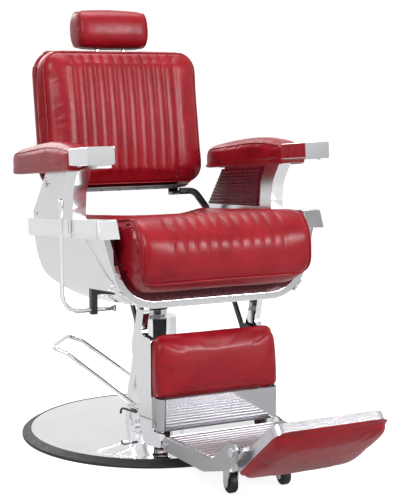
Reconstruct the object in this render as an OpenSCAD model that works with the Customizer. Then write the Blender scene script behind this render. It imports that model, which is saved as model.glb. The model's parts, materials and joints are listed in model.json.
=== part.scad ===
// Hydraulic barber chair, modelled as its separate pieces.
// Millimetres. Z is up, the floor is z = 0 and the pump's axis is x = y = 0.
// The sitter faces -Y, and the sitter's left hand is on +X.

/* [Base] */
// Outer radius of the rubber floor ring
base_r = 365; // [340:1:400]
// Width of the rubber ring seen from above
ring_w = 24; // [16:1:32]
// Height of the rubber ring
ring_h = 18; // [14:1:24]
// Height of the middle of the chrome dish
dish_h = 27; // [24:1:45]
// Thickness of the dish's sheet
dish_t = 3; // [2:0.5:4]

/* [Pump] */
// Height of the top of the chrome column sleeve
column_h = 320; // [300:1:330]
// Radius of the sleeve at its top
sleeve_r = 58; // [54:1:62]
// Radius of the sleeve's flared foot
flare_r = 84; // [76:1:88]
// Wall of the sleeve
sleeve_t = 3; // [2:0.5:4]
// Radius of the ram that lifts the seat
ram_r = 24; // [20:1:28]
// Radius of the spindle that the seat turns on
spindle_r = 20; // [16:1:20]
// How far the ram rises
lift = 150; // [100:5:160]

/* [Pump lever] */
// Compass direction that the foot lever points in, from +X
lever_turn = 144; // [120:1:170]
// Distance from the column's axis to the grip bar
lever_reach = 275; // [240:1:300]
// Half the width of the stirrup at the grip
grip_half = 80; // [70:1:90]
// Diameter of the stirrup's rod
lever_rod = 11; // [9:0.5:13]

/* [Seat] */
// Backward slope of the seat and arms, in degrees
rake = 4.7; // [3:0.1:6]
// Width of the seat cushion
seat_w = 470; // [450:1:480]
// Gap between the seat cushion and each side beam
beam_gap = 22; // [18:1:30]
// Width of a side beam
beam_w = 50; // [46:1:50]
// Height of a side beam
beam_h = 46; // [40:1:50]
// Radius of the tub's lower corners
tub_r = 110; // [100:1:115]
// Outward lean of the tub's walls, in degrees
tub_lean = 15; // [12:1:16]
// Thickness of the tub's wall
shell_t = 3; // [2:0.5:4]
// Thickness of the chrome front band
band_t = 17; // [12:1:18]
// Depth of the sewn channels in the cushions
groove = 5; // [3:0.5:7]
// Distance between two sewn channels
channel = 29.8; // [26:0.2:32]

/* [Arms] */
// Height of the arm rest's rail above the side beam
arm_rise = 130; // [120:1:140]
// Width of an arm pad
pad_w = 74; // [68:1:76]
// Width of a chrome arm cap
cap_w = 70; // [64:1:72]
// Height of a chrome arm cap
cap_h = 43; // [38:1:46]
// Length of a chrome arm cap
cap_l = 122; // [100:1:130]
// Ribs on each arm's inner panel
panel_ribs = 11; // [8:1:13]

/* [Back] */
// Lean of the upright back, in degrees
back_lean = 9.2; // [6:0.1:12]
// Width of the back
back_w = 480; // [440:1:490]
// Height of the back cushion
back_h = 389; // [360:1:400]
// Thickness of the back with its shell
back_t = 108; // [100:1:115]
// Length of the head rest
head_w = 218; // [200:1:260]
// Height of the head rest's roll
head_h = 110; // [96:1:116]
// Travel of the head rest on its posts
head_lift = 90; // [60:5:100]

/* [Footrest] */
// Distance between the outer faces of the footrest's arms
foot_span = 336; // [330:1:344]
// Thickness of a footrest arm
arm_t = 16; // [12:1:16]
// Width of the calf pad
calf_w = 334; // [310:1:336]
// Width of the ribbed foot tread
tread_w = 316; // [310:1:320]
// Ribs on the foot tread
tread_ribs = 11; // [8:1:13]
// Width of the flip panel
flip_w = 280; // [260:1:284]
// Length of the flip panel
flip_l = 210; // [190:1:220]
// Angle of the open flip panel above level, in degrees
flip_tilt = 38; // [34:1:42]
// Radius of a caster wheel
wheel_r = 24; // [20:1:26]

/* [Hidden] */
$fn = 64;

// clearances
fit = 0.05;        // radial clearance of a running fit
seat_gap = 0.3;    // gap between pieces that lie against each other
swing_gap = 2;     // gap beside a piece that moves

// colours
chrome = [0.80, 0.81, 0.83];
steel = [0.55, 0.56, 0.58];
blacked = [0.09, 0.09, 0.10];
leather = [0.62, 0.10, 0.14];
maroon = [0.40, 0.07, 0.10];
rubber = [0.12, 0.11, 0.11];

// ---- base sizes
ledge_w = 11;                            // inner shelf of the rubber ring
ledge_h = 14;
plate_h = 8;                             // base plate on the floor
dish_r = base_r - ring_w;                // outer edge of the dish
dish_flat = 132;                         // level middle of the dish
dish_sag = 12;                           // steps in the dish's curve
boss_r = 100;
dish_under = dish_h - dish_t;
flange_r = 68;
flange_t = 10;
flange_hole = flange_r + 4;
cylinder_r = 42;
cylinder_bore = 26;
cylinder_top = column_h - 18;
gland_t = 12;
lip_t = 4;
bolt_r = 4;
base_bolt_circle = 55;
// fraction of the drop from the sleeve's top, and of the flare reached there
flare_curve = [[0, 0], [0.29, 0.09], [0.42, 0.19], [0.505, 0.32], [0.6, 0.52], [0.66, 0.65],
    [0.73, 0.74], [0.8, 0.79], [0.9, 0.86], [1, 1]];

// ---- ram and seat hub heights
ram_foot = 70;
collar_z = column_h + 6;
collar_t = 14;
collar_r = 33;
hub_z = collar_z + collar_t + seat_gap;
spindle_top = hub_z + 50;
hub_r = 36;

// ---- pump lever, in its own frame: X points along the lever
pivot_s = 30;
pivot_z = 46;
lever_pin_r = 4;
lug_r = 12;
plate_t = 4;
lug_w0 = flare_r + 0.5;                  // inner face of the lugs, clear of the sleeve
lever_half = lug_w0 + plate_t + 4;       // middle of the stirrup's ends
knee_s = 227;
knee_z = 224;
grip_z = 238;
root_z = 92;

// ---- seat, in the raked frame (before the slope is applied)
rake_z = 600;                            // height of the raking axis
beam_z1 = 600;                           // top of the side beams
beam_z0 = beam_z1 - beam_h;
beam_x0 = seat_w / 2 + beam_gap;
beam_x1 = beam_x0 + beam_w;
beam_front = -354;
beam_rear = 152;
tub_z0 = 380;                            // underside of the tub and band
tub_cz = tub_z0 + tub_r;
tub_cx = beam_x1 - 4 - (beam_z1 - tub_cz - tub_r * sin(-tub_lean)) * tan(tub_lean) - tub_r * cos(tub_lean);
tub_flat = 185;                          // the shells stop here, the middle stays open
band_front = -345;
band_rear = -325;
board_t = 12;
board_z1 = 490;
board_z0 = board_z1 - board_t;
rail_x = 108;
rail_w = 16;
rail_z0 = 408;
rail_z1 = 462;
front_cross = [-316, -286];
rear_cross = [-80, -50];
side_t = 6;                              // steel side plate on the beam's inner face
apron_t = 4;                             // panel behind the front band

// ---- seat cushion, raked frame
cushion_rear = 138;
roll_y = -355;                           // centre of the front roll
roll_a = 86;
cushion_z1 = 604;
cushion_low = 418;
cushion_dish = 22;

// ---- arms, raked frame
rail_t = 8;
rail_top = beam_z1 + arm_rise;
arm_x0 = beam_x0 + 8;                    // inner face of the arm frame
arm_plate_t = 10;
post_w = 35;
cap_x1 = beam_x1 + 24;
cap_x0 = cap_x1 - cap_w;
cap_front = -367;
cap_rear = cap_front + cap_l;
pad_rear = 203;
pad_mid = (cap_x0 + cap_x1) / 2;

// ---- back, own frame: Y is depth from the front face, Z is height up the back
back_foot = [0, 158, 664];
cushion_t = 60;
back_corner = 62;
shell_d0 = cushion_t + 12 + seat_gap;
pivot_b = [155, 510];                    // recline pivot (y, z)
shaft_r = 11;
back_tube = beam_x0 - side_t - 5;        // half the hinge tube's length
back_pin_r = 6;
post_x = 40;
post_r = 6;
post_d = 82;
head_c = [80, back_h + 67];              // centre of the head rest (depth, height)

// ---- footrest pivots and linkage (y, z)
pivot_f = [-300, 440];
link_g = [-335, 316];
link_q = pivot_b + link_g - pivot_f;     // equal and parallel levers
link_knees = [[-232, 320], [-172, 402]]; // bends that pass under the front band
lever_knee = pivot_b + [32, -48];        // bend that passes behind the cushion
link_r = 5;
lever_x0 = 132;
lever_x1 = 140;
link_x0 = lever_x1 + swing_gap;
link_x1 = link_x0 + 6;
foot_x1 = foot_span / 2;
foot_x0 = foot_x1 - arm_t;
lug_x0 = foot_x1 + swing_gap;
lug_t = 8;
foot_pin_r = 8;
calf_back = -352;                        // rear plane of the calf pad
calf_z0 = 190;
calf_z1 = 332;
kick_z0 = 109.3;
kick_front = -393;
kick_half = calf_w / 2 - 1;
tread_z0 = 96;
tread_z1 = 103;
tread_tooth = 6;
tread_slope = 10 / 227;
tread_side = tread_w / 2;
tread_rear = -428;
tread_front = -655;
flange_t2 = 6;
foot_bolt = [-420, 84];
flip_pivot = [-762, 158];
flip_top = 10;                           // panel surface below its pivot
flip_near = 48;                          // panel edge behind its pivot
flip_far = flip_near - flip_l;
flip_t = 24;
flip_pad_t = 24;
caster_x = 71;
caster_y = -581;
caster_z = wheel_r + 1;
wheel_w = 18;
fork_t = 3;

// ---- recline lever
handle_x = beam_x1 + 15;
handle_y = -148;
shaft_z = 378;
handle_top = 640;
handle_d = 11;

// ---------------------------------------------------------------- helpers

function unit(v) = v / norm(v);

// points of an arc that replaces the corner b of the line a, b, c
function corner(a, b, c, r, n) =
    let (u = unit(a - b), w = unit(c - b), half = acos(u * w) / 2,
         centre = b + unit(u + w) * r / sin(half),
         s = b + u * r / tan(half) - centre, e = b + w * r / tan(half) - centre,
         sweep = 180 - 2 * half)
    [for (i = [0:n]) centre + (s * sin(sweep * (1 - i / n)) + e * sin(sweep * i / n)) / sin(sweep)];

// closed outline from [x, y, radius] corners
function rounded(p, n = 5) = [
    for (i = [0:len(p) - 1])
        let (a = p[(i + len(p) - 1) % len(p)], b = p[i], c = p[(i + 1) % len(p)])
        each (b[2] == 0 ? [[b[0], b[1]]]
            : corner([a[0], a[1]], [b[0], b[1]], [c[0], c[1]], b[2], n))];

// open 3-D path from [point, radius] corners
function bent(p, n = 5) = [
    for (i = [0:len(p) - 1])
        each (i == 0 || i == len(p) - 1 || p[i][1] == 0 ? [p[i][0]]
            : corner(p[i - 1][0], p[i][0], p[i + 1][0], p[i][1], n))];

function heading(p, i) = unit(p[min(i + 1, len(p) - 1)] - p[max(i - 1, 0)]);

// rings of a round rod along a path; up is never parallel to it
function rod_rings(p, r, up, sides = 12) = [
    for (i = [0:len(p) - 1])
        let (t = heading(p, i), u = unit(up - (up * t) * t), v = cross(t, u))
        [for (k = [0:sides - 1]) p[i] + r * (cos(360 * k / sides) * u + sin(360 * k / sides) * v)]];

// closed solid through a list of equal rings; its ends meet halfway between the points p and q
module loft(rings, p = 0, q = 0) {
    n = len(rings);
    m = len(rings[0]);
    far = q > 0 ? q : floor(m / 2);
    polyhedron(
        points = concat([for (ring = rings) each ring],
            [(rings[0][p] + rings[0][far]) / 2, (rings[n - 1][p] + rings[n - 1][far]) / 2]),
        faces = concat(
            [for (j = [0:m - 1]) [n * m, j, (j + 1) % m]],
            [for (i = [0:n - 2], j = [0:m - 1])
                let (a = i * m + j, b = i * m + (j + 1) % m)
                each [[a, a + m, b + m], [a, b + m, b]]],
            [for (j = [0:m - 1]) [n * m + 1, (n - 1) * m + (j + 1) % m, (n - 1) * m + j]]));
}

// extrude a (y, z) outline along X, or an (x, z) outline along Y
module plate_x(x0, x1) translate([x0, 0, 0]) rotate([90, 0, 90]) linear_extrude(x1 - x0) children();
module plate_y(y0, y1) translate([0, y1, 0]) rotate([90, 0, 0]) linear_extrude(y1 - y0) children();
module pin_x(x0, x1, c, r) translate([x0, c[0], c[1]]) rotate([0, 90, 0]) cylinder(h = x1 - x0, r = r);
module pin_y(y0, y1, c, r) translate([c[0], y0, c[1]]) rotate([-90, 0, 0]) cylinder(h = y1 - y0, r = r);
module block(x0, x1, y0, y1, z0, z1) translate([x0, y0, z0]) cube([x1 - x0, y1 - y0, z1 - z0]);
module other_side() mirror([1, 0, 0]) children();
module both_sides() {
    children();
    other_side() children();
}

module raked() translate([0, 0, rake_z]) rotate([-rake, 0, 0]) translate([0, 0, -rake_z]) children();
module at_lever() rotate([0, 0, lever_turn]) children();
module at_back() translate(back_foot) rotate([-back_lean, 0, 0]) children();
module at_flip() translate([0, flip_pivot[0], flip_pivot[1]]) rotate([-flip_tilt, 0, 0]) children();

// ---------------------------------------------------------------- base

module base_rubber_ring() color(rubber) rotate_extrude()
    polygon(rounded([
        [dish_r - ledge_w, 0, 0], [base_r, 0, 1.5], [base_r, 7, 3],
        [dish_r + 3, ring_h, 2], [dish_r, ring_h, 0], [dish_r, ledge_h, 0], [dish_r - ledge_w, ledge_h, 0]]));

function dish_z(q) = ledge_h + (dish_under - ledge_h) * (1 - q * q);

module base_dish() color(chrome) rotate_extrude()
    polygon(concat(
        [[flange_hole, dish_under]],
        [for (i = [0:dish_sag]) let (q = i / dish_sag) [dish_flat + q * (dish_r - ledge_w - dish_flat), dish_z(q)]],
        [[dish_r - seat_gap, ledge_h], [dish_r - seat_gap, ledge_h + dish_t]],
        [for (i = [dish_sag:-1:0])
            let (q = i / dish_sag) [dish_flat + q * (dish_r - ledge_w - dish_flat), dish_z(q) + dish_t]],
        [[flange_hole, dish_h]]));

module base_plate() color(blacked) {
    cylinder(h = plate_h, r = dish_r - ledge_w - seat_gap);
    cylinder(h = dish_under, r = boss_r);
}

module base_bolts() color(steel)
    for (a = [45:90:315]) rotate([0, 0, a])
        translate([base_bolt_circle, 0, dish_under + flange_t]) cylinder(h = 5, r = 8, $fn = 24);

// ---------------------------------------------------------------- pump

module pump_cylinder() color(blacked) difference() {
    union() {
        translate([0, 0, dish_under]) cylinder(h = flange_t, r = flange_r);
        translate([0, 0, dish_under]) cylinder(h = cylinder_top - dish_under, r = cylinder_r);
    }
    translate([0, 0, dish_under + flange_t]) cylinder(h = cylinder_top, r = cylinder_bore);
}

module pump_gland() color(steel) translate([0, 0, cylinder_top]) difference() {
    cylinder(h = gland_t, r = sleeve_r - sleeve_t - seat_gap);
    translate([0, 0, -1]) cylinder(h = gland_t + 2, r = ram_r + fit);
}

function sleeve_at(k) = [
    sleeve_r + flare_curve[k][1] * (flare_r - sleeve_r),
    column_h - flare_curve[k][0] * (column_h - dish_h)];

module pump_sleeve() color(chrome) rotate_extrude()
    polygon(concat(
        [[ram_r + 6, column_h - lip_t], [ram_r + 6, column_h]],
        [for (k = [0:len(flare_curve) - 1]) sleeve_at(k)],
        [for (k = [len(flare_curve) - 1:-1:1]) sleeve_at(k) - [sleeve_t, 0]],
        [[sleeve_r - sleeve_t, column_h - lip_t]]));

// ---------------------------------------------------------------- pump lever

module both_lugs() {
    children();
    mirror([0, 1, 0]) children();
}

module lever_bracket() color(steel) at_lever() both_lugs() {
    difference() {
        plate_y(lug_w0, lug_w0 + plate_t) {
            translate([pivot_s, pivot_z]) circle(lug_r);
            polygon([[pivot_s - 22, dish_h], [pivot_s + 22, dish_h],
                [pivot_s + lug_r - 1, pivot_z + 3], [pivot_s - lug_r + 1, pivot_z + 3]]);
        }
        pin_y(lug_w0 - 1, lug_w0 + plate_t + 1, [pivot_s, pivot_z], lever_pin_r);
    }
    translate([pivot_s - 22, lug_w0, dish_h]) cube([44, plate_t + 12, 3.5]);
}

module lever_pins() color(steel) at_lever() both_lugs() {
    pin_y(lug_w0, lever_half + 4.5, [pivot_s, pivot_z], lever_pin_r);
    pin_y(lever_half + 3.5, lever_half + 6.5, [pivot_s, pivot_z], lever_pin_r + 3);
}

module pump_lever() at_lever() {
    color(chrome) loft(rod_rings(bent([
        [[pivot_s + 5, lever_half, root_z - 3], 0],
        [[knee_s, grip_half + 4, knee_z], 34],
        [[lever_reach - lever_rod / 2, grip_half, grip_z], 16],
        [[lever_reach - lever_rod / 2, -grip_half, grip_z], 16],
        [[knee_s, -grip_half - 4, knee_z], 34],
        [[pivot_s + 5, -lever_half, root_z - 3], 0]]), lever_rod / 2, [0.3, 0, 1]));
    color(steel) both_lugs() difference() {
        plate_y(lever_half - 3, lever_half + 3) {
            translate([pivot_s, pivot_z]) circle(lug_r);
            polygon([[pivot_s - lug_r, pivot_z], [pivot_s + lug_r, pivot_z],
                [pivot_s + lug_r + 8, root_z], [pivot_s + 12, root_z + 8], [pivot_s - 6, root_z]]);
        }
        pin_y(lever_half - 4, lever_half + 4, [pivot_s, pivot_z], lever_pin_r + fit);
    }
}

module lever_hook() color(blacked) at_lever()
    loft(rod_rings(bent([
        [[pivot_s + 2, lever_half + 3, pivot_z + 27], 0],
        [[pivot_s + 2, lever_half + 10, pivot_z + 27], 4],
        [[pivot_s + 42, lever_half + 10, pivot_z + 38], 6],
        [[pivot_s + 44, lever_half + 10, pivot_z + 22], 0]], 3), 3, [0.2, 0.3, 1], 10));

// ---------------------------------------------------------------- ram and turning hub

module piston_ram() color(steel) {
    translate([0, 0, ram_foot]) cylinder(h = collar_z - ram_foot, r = ram_r);
    translate([0, 0, collar_z]) cylinder(h = collar_t, r = collar_r);
    translate([0, 0, collar_z]) cylinder(h = spindle_top - collar_z, r = spindle_r);
}

module seat_hub() color(blacked) difference() {
    union() {
        translate([0, 0, hub_z]) cylinder(h = spindle_top + 13 - hub_z, r = hub_r);
        raked() block(-rail_x - rail_w, rail_x + rail_w, -110, 110, rail_z0 - 8, rail_z0);
    }
    translate([0, 0, hub_z - 1]) cylinder(h = spindle_top + 3 - hub_z, r = spindle_r + fit);
}

// ---------------------------------------------------------------- seat structure

// a point of the level frame, seen in the raked one
function unraked(p) = let (z = p[1] - rake_z)
    [p[0] * cos(rake) - z * sin(rake), p[0] * sin(rake) + z * cos(rake) + rake_z];

hinge_b = unraked(pivot_b);
hinge_f = unraked(pivot_f);
cross_span = beam_x0 - side_t;

module side_plate() difference() {
    plate_x(beam_x0 - side_t, beam_x0) {
        polygon(rounded([
            [front_cross[0], rail_z1, 10], [60, rail_z1, 30], [hinge_b[0] + 14, hinge_b[1] - 16, 14],
            [hinge_b[0] + 18, hinge_b[1] + 12, 14], [140, beam_z1 - 10, 16], [front_cross[0], beam_z1 - 10, 10]]));
    }
    pin_x(beam_x0 - side_t - 1, beam_x0 + 1, hinge_b, back_pin_r);
}

module foot_lug() difference() {
    plate_x(lug_x0, lug_x0 + lug_t) {
        translate(hinge_f) circle(16);
        polygon([[front_cross[0], rail_z1 + 1], [front_cross[0] + 12, hinge_f[1] - 4],
            [hinge_f[0] + 15, hinge_f[1] - 4], [front_cross[1] + 12, rail_z1 + 1]]);
    }
    pin_x(lug_x0 - 1, lug_x0 + lug_t + 1, hinge_f, foot_pin_r);
}

module seat_frame() color(blacked) raked() {
    both_sides() {
        block(rail_x, rail_x + rail_w, front_cross[0], 100, rail_z0, rail_z1);
        side_plate();
        foot_lug();
    }
    block(-cross_span, cross_span, front_cross[0], front_cross[1], rail_z1, board_z0);
    block(-cross_span, cross_span, rear_cross[0], rear_cross[1], rail_z1, board_z0);
}

module back_pins() color(steel) both_sides() {
    pin_x(back_tube - 22, beam_x0, pivot_b, back_pin_r);
    pin_x(back_tube + 1, beam_x0 - side_t - 0.5, pivot_b, shaft_r);
}

module foot_pins() color(steel) both_sides() {
    pin_x(foot_x0, lug_x0 + lug_t + 1, pivot_f, foot_pin_r);
    pin_x(lug_x0 + lug_t, lug_x0 + lug_t + 5, pivot_f, foot_pin_r + 4);
}

module seat_board() color(blacked) raked()
    block(-seat_w / 2 + 8, seat_w / 2 - 8, band_rear + apron_t + 1, cushion_rear - 6, board_z0, board_z1);

// ---------------------------------------------------------------- tub and band

// the tub's section, drawn in (x, z) and shrunk by t
module tub_section(t) difference() {
    union() {
        square_x = tub_cx + (tub_r - t) * cos(tub_lean);
        square_z = tub_cz - (tub_r - t) * sin(tub_lean);
        top_x = square_x + (beam_z0 - square_z) * tan(tub_lean);
        for (s = [-1, 1]) translate([s * tub_cx, tub_cz]) circle(tub_r - t);
        polygon([[-tub_cx, tub_z0 + t], [tub_cx, tub_z0 + t], [square_x, square_z], [top_x, beam_z0],
            [-top_x, beam_z0], [-square_x, square_z]]);
    }
    translate([-2 * beam_x1, beam_z0]) square([4 * beam_x1, 2 * tub_r]);
}

module front_band() color(chrome) raked() plate_y(band_front, band_rear) difference() {
    tub_section(0);
    translate([0, 0.01]) tub_section(band_t);
    translate([-beam_x0 - band_t / 2, tub_cz]) square([2 * beam_x0 + band_t, 2 * tub_r]);
}

module seat_apron() color(maroon) raked() plate_y(band_rear, band_rear + apron_t) difference() {
    tub_section(band_t - 9);
    translate([0, 0.01]) tub_section(band_t + 38);
    intersection() {
        tub_section(band_t + 12);
        translate([-beam_x1, board_z1 - 3]) square([2 * beam_x1, 2 * tub_r]);
    }
    translate([-beam_x1, beam_z0 - 14]) square([2 * beam_x1, tub_r]);
}

module side_shell() color(chrome) raked() intersection() {
    plate_y(band_rear, beam_rear + 24) difference() {
        tub_section(0);
        translate([0, 0.01]) tub_section(shell_t);
    }
    plate_x(tub_flat, beam_x1) polygon(rounded([
        [band_rear, tub_z0 - 5, 0], [-20, tub_z0 - 5, 60], [82, 416, 60], [150, 441, 60],
        [beam_rear + 20, 466, 24], [beam_rear + 22, 500, 30], [beam_rear, beam_z0, 0], [band_rear, beam_z0, 0]], 10));
}

module side_shell_left() side_shell();
module side_shell_right() other_side() side_shell();

module band_clips() color(steel) raked() both_sides() {
    translate([tub_cx, band_front - 3, tub_cz]) rotate([0, 46, 0])
        translate([tub_r + 0.2, 0, -18]) cube([5, 24, 36]);
    pin_y(band_front - 6, band_front, [tub_cx + (tub_r - band_t / 2) * cos(14), tub_cz - (tub_r - band_t / 2) * sin(14)], 6);
}

// ---------------------------------------------------------------- side beams and arms

module side_beam() color(chrome) raked() difference() {
    union() {
        block(beam_x0, beam_x1, band_front, beam_rear, beam_z0, beam_z1);
        plate_x(beam_x0 + 0.5, beam_x1 - 0.5) polygon([
            [band_front, beam_z0], [beam_front - 16, beam_z0], [beam_front, beam_z1 - 2], [band_front, beam_z1 - 2]]);
    }
    for (y = [-178, -160]) block(beam_x1 - 3, beam_x1 + 1, y - 2.2, y + 2.2, beam_z0 + 11, beam_z1 - 4);
}

module side_beam_left() side_beam();
module side_beam_right() other_side() side_beam();

panel_pitch = 100 / panel_ribs;
panel_edge = [[-140, 717], [-113, 676], [-101, 609], [190, 617], [93, 715]];

module arm_post() polygon(rounded([
    [-174, beam_z1, 0], [-176, 628, 60], [-187, 676, 60], [-226, rail_top - rail_t, 0], [-140, rail_top - rail_t, 0],
    [-140, 717, 2], [-113, 676, 40], [-101, 628, 30], [-101, beam_z1, 0]], 14));

module arm_frame() color(chrome) raked() {
    plate_x(arm_x0, arm_x0 + arm_plate_t) polygon(rounded([
        [-174, beam_z1, 0], [-176, 628, 60], [-187, 676, 60], [-226, rail_top - rail_t, 0],
        [82, rail_top - rail_t, 10], [104, 702, 30], [179, 635, 30], [199, 618, 10], [199, beam_z1, 3]], 14));
    plate_x(arm_x0, arm_x0 + post_w) arm_post();
    block(arm_x0, arm_x0 + post_w, cap_front + 14, 100, rail_top - rail_t, rail_top);
    plate_x(arm_x0 + arm_plate_t, arm_x0 + arm_plate_t + 3) difference() {
        polygon(rounded([[-96, 604, 6], [182, 606, 6], [172, 630, 20], [96, 700, 20], [82, 715, 8], [-134, 715, 6],
            [-110, 676, 50]]));
        for (k = [0:3]) translate([-104, 682 + 8 * k]) square([190, 2.4]);
    }
}

module arm_frame_left() arm_frame();
module arm_frame_right() other_side() arm_frame();

module arm_panel() color(maroon) raked() difference() {
    plate_x(arm_x0 - 6, arm_x0) polygon(panel_edge);
    for (k = [1:panel_ribs - 1]) block(arm_x0 - 7, arm_x0 - 4, -160, 200, 609 + k * panel_pitch, 610.8 + k * panel_pitch);
}

module arm_panel_left() arm_panel();
module arm_panel_right() other_side() arm_panel();

module arm_cap() color(chrome) raked() difference() {
    plate_y(cap_front, cap_rear) polygon(rounded([
        [cap_x0, rail_top, 5], [cap_x1, rail_top, 5], [cap_x1, rail_top + cap_h, 4], [cap_x0, rail_top + cap_h, 4]]));
    plate_y(cap_front + 3, cap_rear + 1) polygon(rounded([
        [cap_x0 + 3, rail_top + 3, 3], [cap_x1 - 3, rail_top + 3, 3],
        [cap_x1 - 3, rail_top + cap_h - 3, 2], [cap_x0 + 3, rail_top + cap_h - 3, 2]]));
}

module arm_cap_left() arm_cap();
module arm_cap_right() other_side() arm_cap();

// outline of the pad across the arm, from the middle of its width; h is its height
function pad_ring(h, k) = let (w = pad_w / 2 * k, lip = rail_top - 10 * k)
    [[-w + 1, lip + 2], [arm_x0 - pad_mid - seat_gap, lip], [arm_x0 - pad_mid - seat_gap, rail_top],
     [arm_x0 + post_w - pad_mid + seat_gap, rail_top], [arm_x0 + post_w - pad_mid + seat_gap, lip],
     [w - 5, lip], [w, lip + 6], [w, rail_top + h * 0.62], [w - 3, rail_top + h * 0.8],
     [w - 10, rail_top + h * 0.93], [w - 22, rail_top + h], [-w + 22, rail_top + h],
     [-w + 10, rail_top + h * 0.93], [-w + 3, rail_top + h * 0.8], [-w, rail_top + h * 0.62], [-w, lip + 6]];

pad_stations = [[0, 42, 0.94], [6, 46, 1], [60, 57, 1], [110, 64, 1], [160, 67, 1], [230, 66, 1], [300, 63, 1],
    [360, 60, 1], [405, 57, 1], [430, 53, 0.97], [443, 42, 0.86], [448, 32, 0.8]];

module arm_pad() color(leather) raked()
    loft([for (i = [len(pad_stations) - 1:-1:0])
        let (s = pad_stations[i])
        [for (q = pad_ring(s[1], s[2])) [pad_mid + q[0], cap_rear + s[0] / 448 * (pad_rear - cap_rear), q[1]]]], 8, 14);

module arm_pad_left() arm_pad();
module arm_pad_right() other_side() arm_pad();

module seat_bolts() color(steel) raked() both_sides() {
    for (p = [[-88, 611], [162, 612], [72, 690], [-106, 706]])
        pin_x(arm_x0 + arm_plate_t + 3, arm_x0 + arm_plate_t + 6, p, 5);
    for (y = [cap_front + 22, cap_rear - 22])
        translate([cap_x1 - 18, y, rail_top - 2.5]) cylinder(h = 2.5, r = 5);
}

// ---------------------------------------------------------------- cushions

// set-back of a rounded edge of radius r, t beyond where the rounding starts
function set_back(t, r) = t <= 0 ? 0 : r - sqrt(max(0, r * r - min(t, r) * min(t, r)));

// depth of the sewn channels across the width
function sewn(x) = abs(x) > 5.5 * channel ? 0 : groove * pow(abs(cos(180 * x / channel)), 4);

// stations across a channelled cushion, from +X to -X, with its borders' offsets from the edge
function stations(half, borders) = concat(
    [for (b = borders) half - b],
    [for (k = [15:-1:-15]) k * channel / 3],
    [for (i = [len(borders) - 1:-1:0]) borders[i] - half]);

// side view of the seat cushion: y, z, and how far top, front and underside take part
seat_profile = [
    [0, 0, 0, 0, 0], [-120, 0, 0, 0, 0], [-330, 0, 0, 0, 0], [-483, 0, 0, 0, 0], [-483, -38, 0, 0, 0.4],
    [-484, -70, 0, 0, 1], [-500, -73, 0, 0, 1], [-517, -69, 0, 0, 1], [-540, -60, 0, 0.3, 0.8],
    [-558, -47, 0, 0.6, 0.5], [-570, -30, 0, 0.9, 0.2], [-577, -8, 0, 1, 0], [-579, 38, 0.1, 1, 0],
    [-573, 60, 0.3, 0.95, 0], [-561, 81, 0.6, 0.7, 0], [-544, 98, 0.8, 0.4, 0], [-522, 109, 1, 0.1, 0],
    [-493, 113, 1, 0, 0], [-438, 114, 1, 0, 0], [-350, 114, 1, 0, 0], [-260, 114, 1, 0, 0],
    [-170, 114, 1, 0, 0], [-90, 114, 1, 0, 0], [-36, 113, 1, 0, 0], [-11, 107, 0.8, 0, 0],
    [-1, 90, 0.4, 0, 0], [0, 50, 0, 0, 0]];

function seat_point(x, q) =
    let (edge = abs(x) - seat_w / 2,
         low = max(0, min(1, (-q[0] - 140) / -300 + 1.4)),
         sunk = cushion_dish * max(0, 1 - pow(x / 195, 2)) * max(0, min(1, (q[0] + 480) / 340)),
         drop = set_back(edge + 20, 20) + sewn(x) + sunk * low,
         back = set_back(edge + 26, 26) + sewn(x) * min(1, q[2] * 3),
         rise = set_back(edge + 50, 50))
    [x, cushion_rear + q[0] + q[3] * back, board_z1 + q[1] - q[2] * drop + q[4] * rise];

module seat_cushion() color(leather) raked()
    loft([for (x = stations(seat_w / 2, [0, 3, 9, 20, 36, 55, 71])) [for (q = seat_profile) seat_point(x, q)]],
        4, 15);

// side view of the back cushion: share of the depth, share of the height
back_profile = [
    [1, 0.02], [0.55, 0], [0.25, 0.012], [0.08, 0.045], [0, 0.1], [0, 0.18], [0, 0.28], [0, 0.38], [0, 0.5],
    [0, 0.62], [0, 0.72], [0, 0.82], [0, 0.9], [0.08, 0.955], [0.25, 0.988], [0.55, 1], [1, 0.98],
    [1, 0.8], [1, 0.6], [1, 0.4], [1, 0.2]];

function back_point(x, q) =
    let (edge = abs(x) - back_w / 2,
         end = set_back(edge + back_corner, back_corner),
         h = end + q[1] * (back_h - 2 * end),
         side = 1 - pow(2 * x / back_w, 4),
         crown = 12 * side * sin(180 * q[1]),
         run = min(1, max(0, (h - 14) / 22), max(0, (back_h - 14 - h) / 22)),
         front = set_back(edge + 34, 34) - crown + sewn(x) * run)
    [x, q[0] * cushion_t + (1 - q[0]) * front, h];

module back_cushion() color(leather) at_back()
    loft([for (x = stations(back_w / 2, [0, 4, 12, 26, 44, 64])) [for (q = back_profile) back_point(x, q)]]);

head_stations = [[0, 0.74], [2, 0.86], [8, 0.95], [20, 1], [54, 1.02], [head_w / 2, 1.03]];
head_all = concat(head_stations, [for (i = [4:-1:0]) [head_w - head_stations[i][0], head_stations[i][1]]]);

function squircle(a, e) = sign(cos(a)) * pow(abs(cos(a)), e);

module headrest_cushion() color(leather) at_back() difference() {
    loft([for (s = head_all) [for (k = [19:-1:0]) let (a = 18 * k + 9) [
        head_w / 2 - s[0],
        head_c[0] + 49 * s[1] * squircle(a, 0.8),
        head_c[1] + (head_h - 4) / 2 * s[1] * squircle(a - 90, 0.8)]]]);
    for (s = [-1, 1]) translate([s * post_x, post_d, head_c[1] - head_h]) cylinder(h = head_h, r = post_r + seat_gap);
}

calf_profile = [[0, 0], [0.5, -0.01], [0.8, 0.02], [0.97, 0.09], [1, 0.2], [1.03, 0.35], [1.03, 0.5],
    [1.02, 0.65], [0.98, 0.8], [0.9, 0.91], [0.7, 0.98], [0.4, 1.01], [0, 1]];
calf_ends = [[0, 0.62, 0.03], [3, 0.82, 0.01], [10, 0.95, 0], [26, 1, 0], [60, 1.03, 0], [110, 1.05, 0]];

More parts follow.
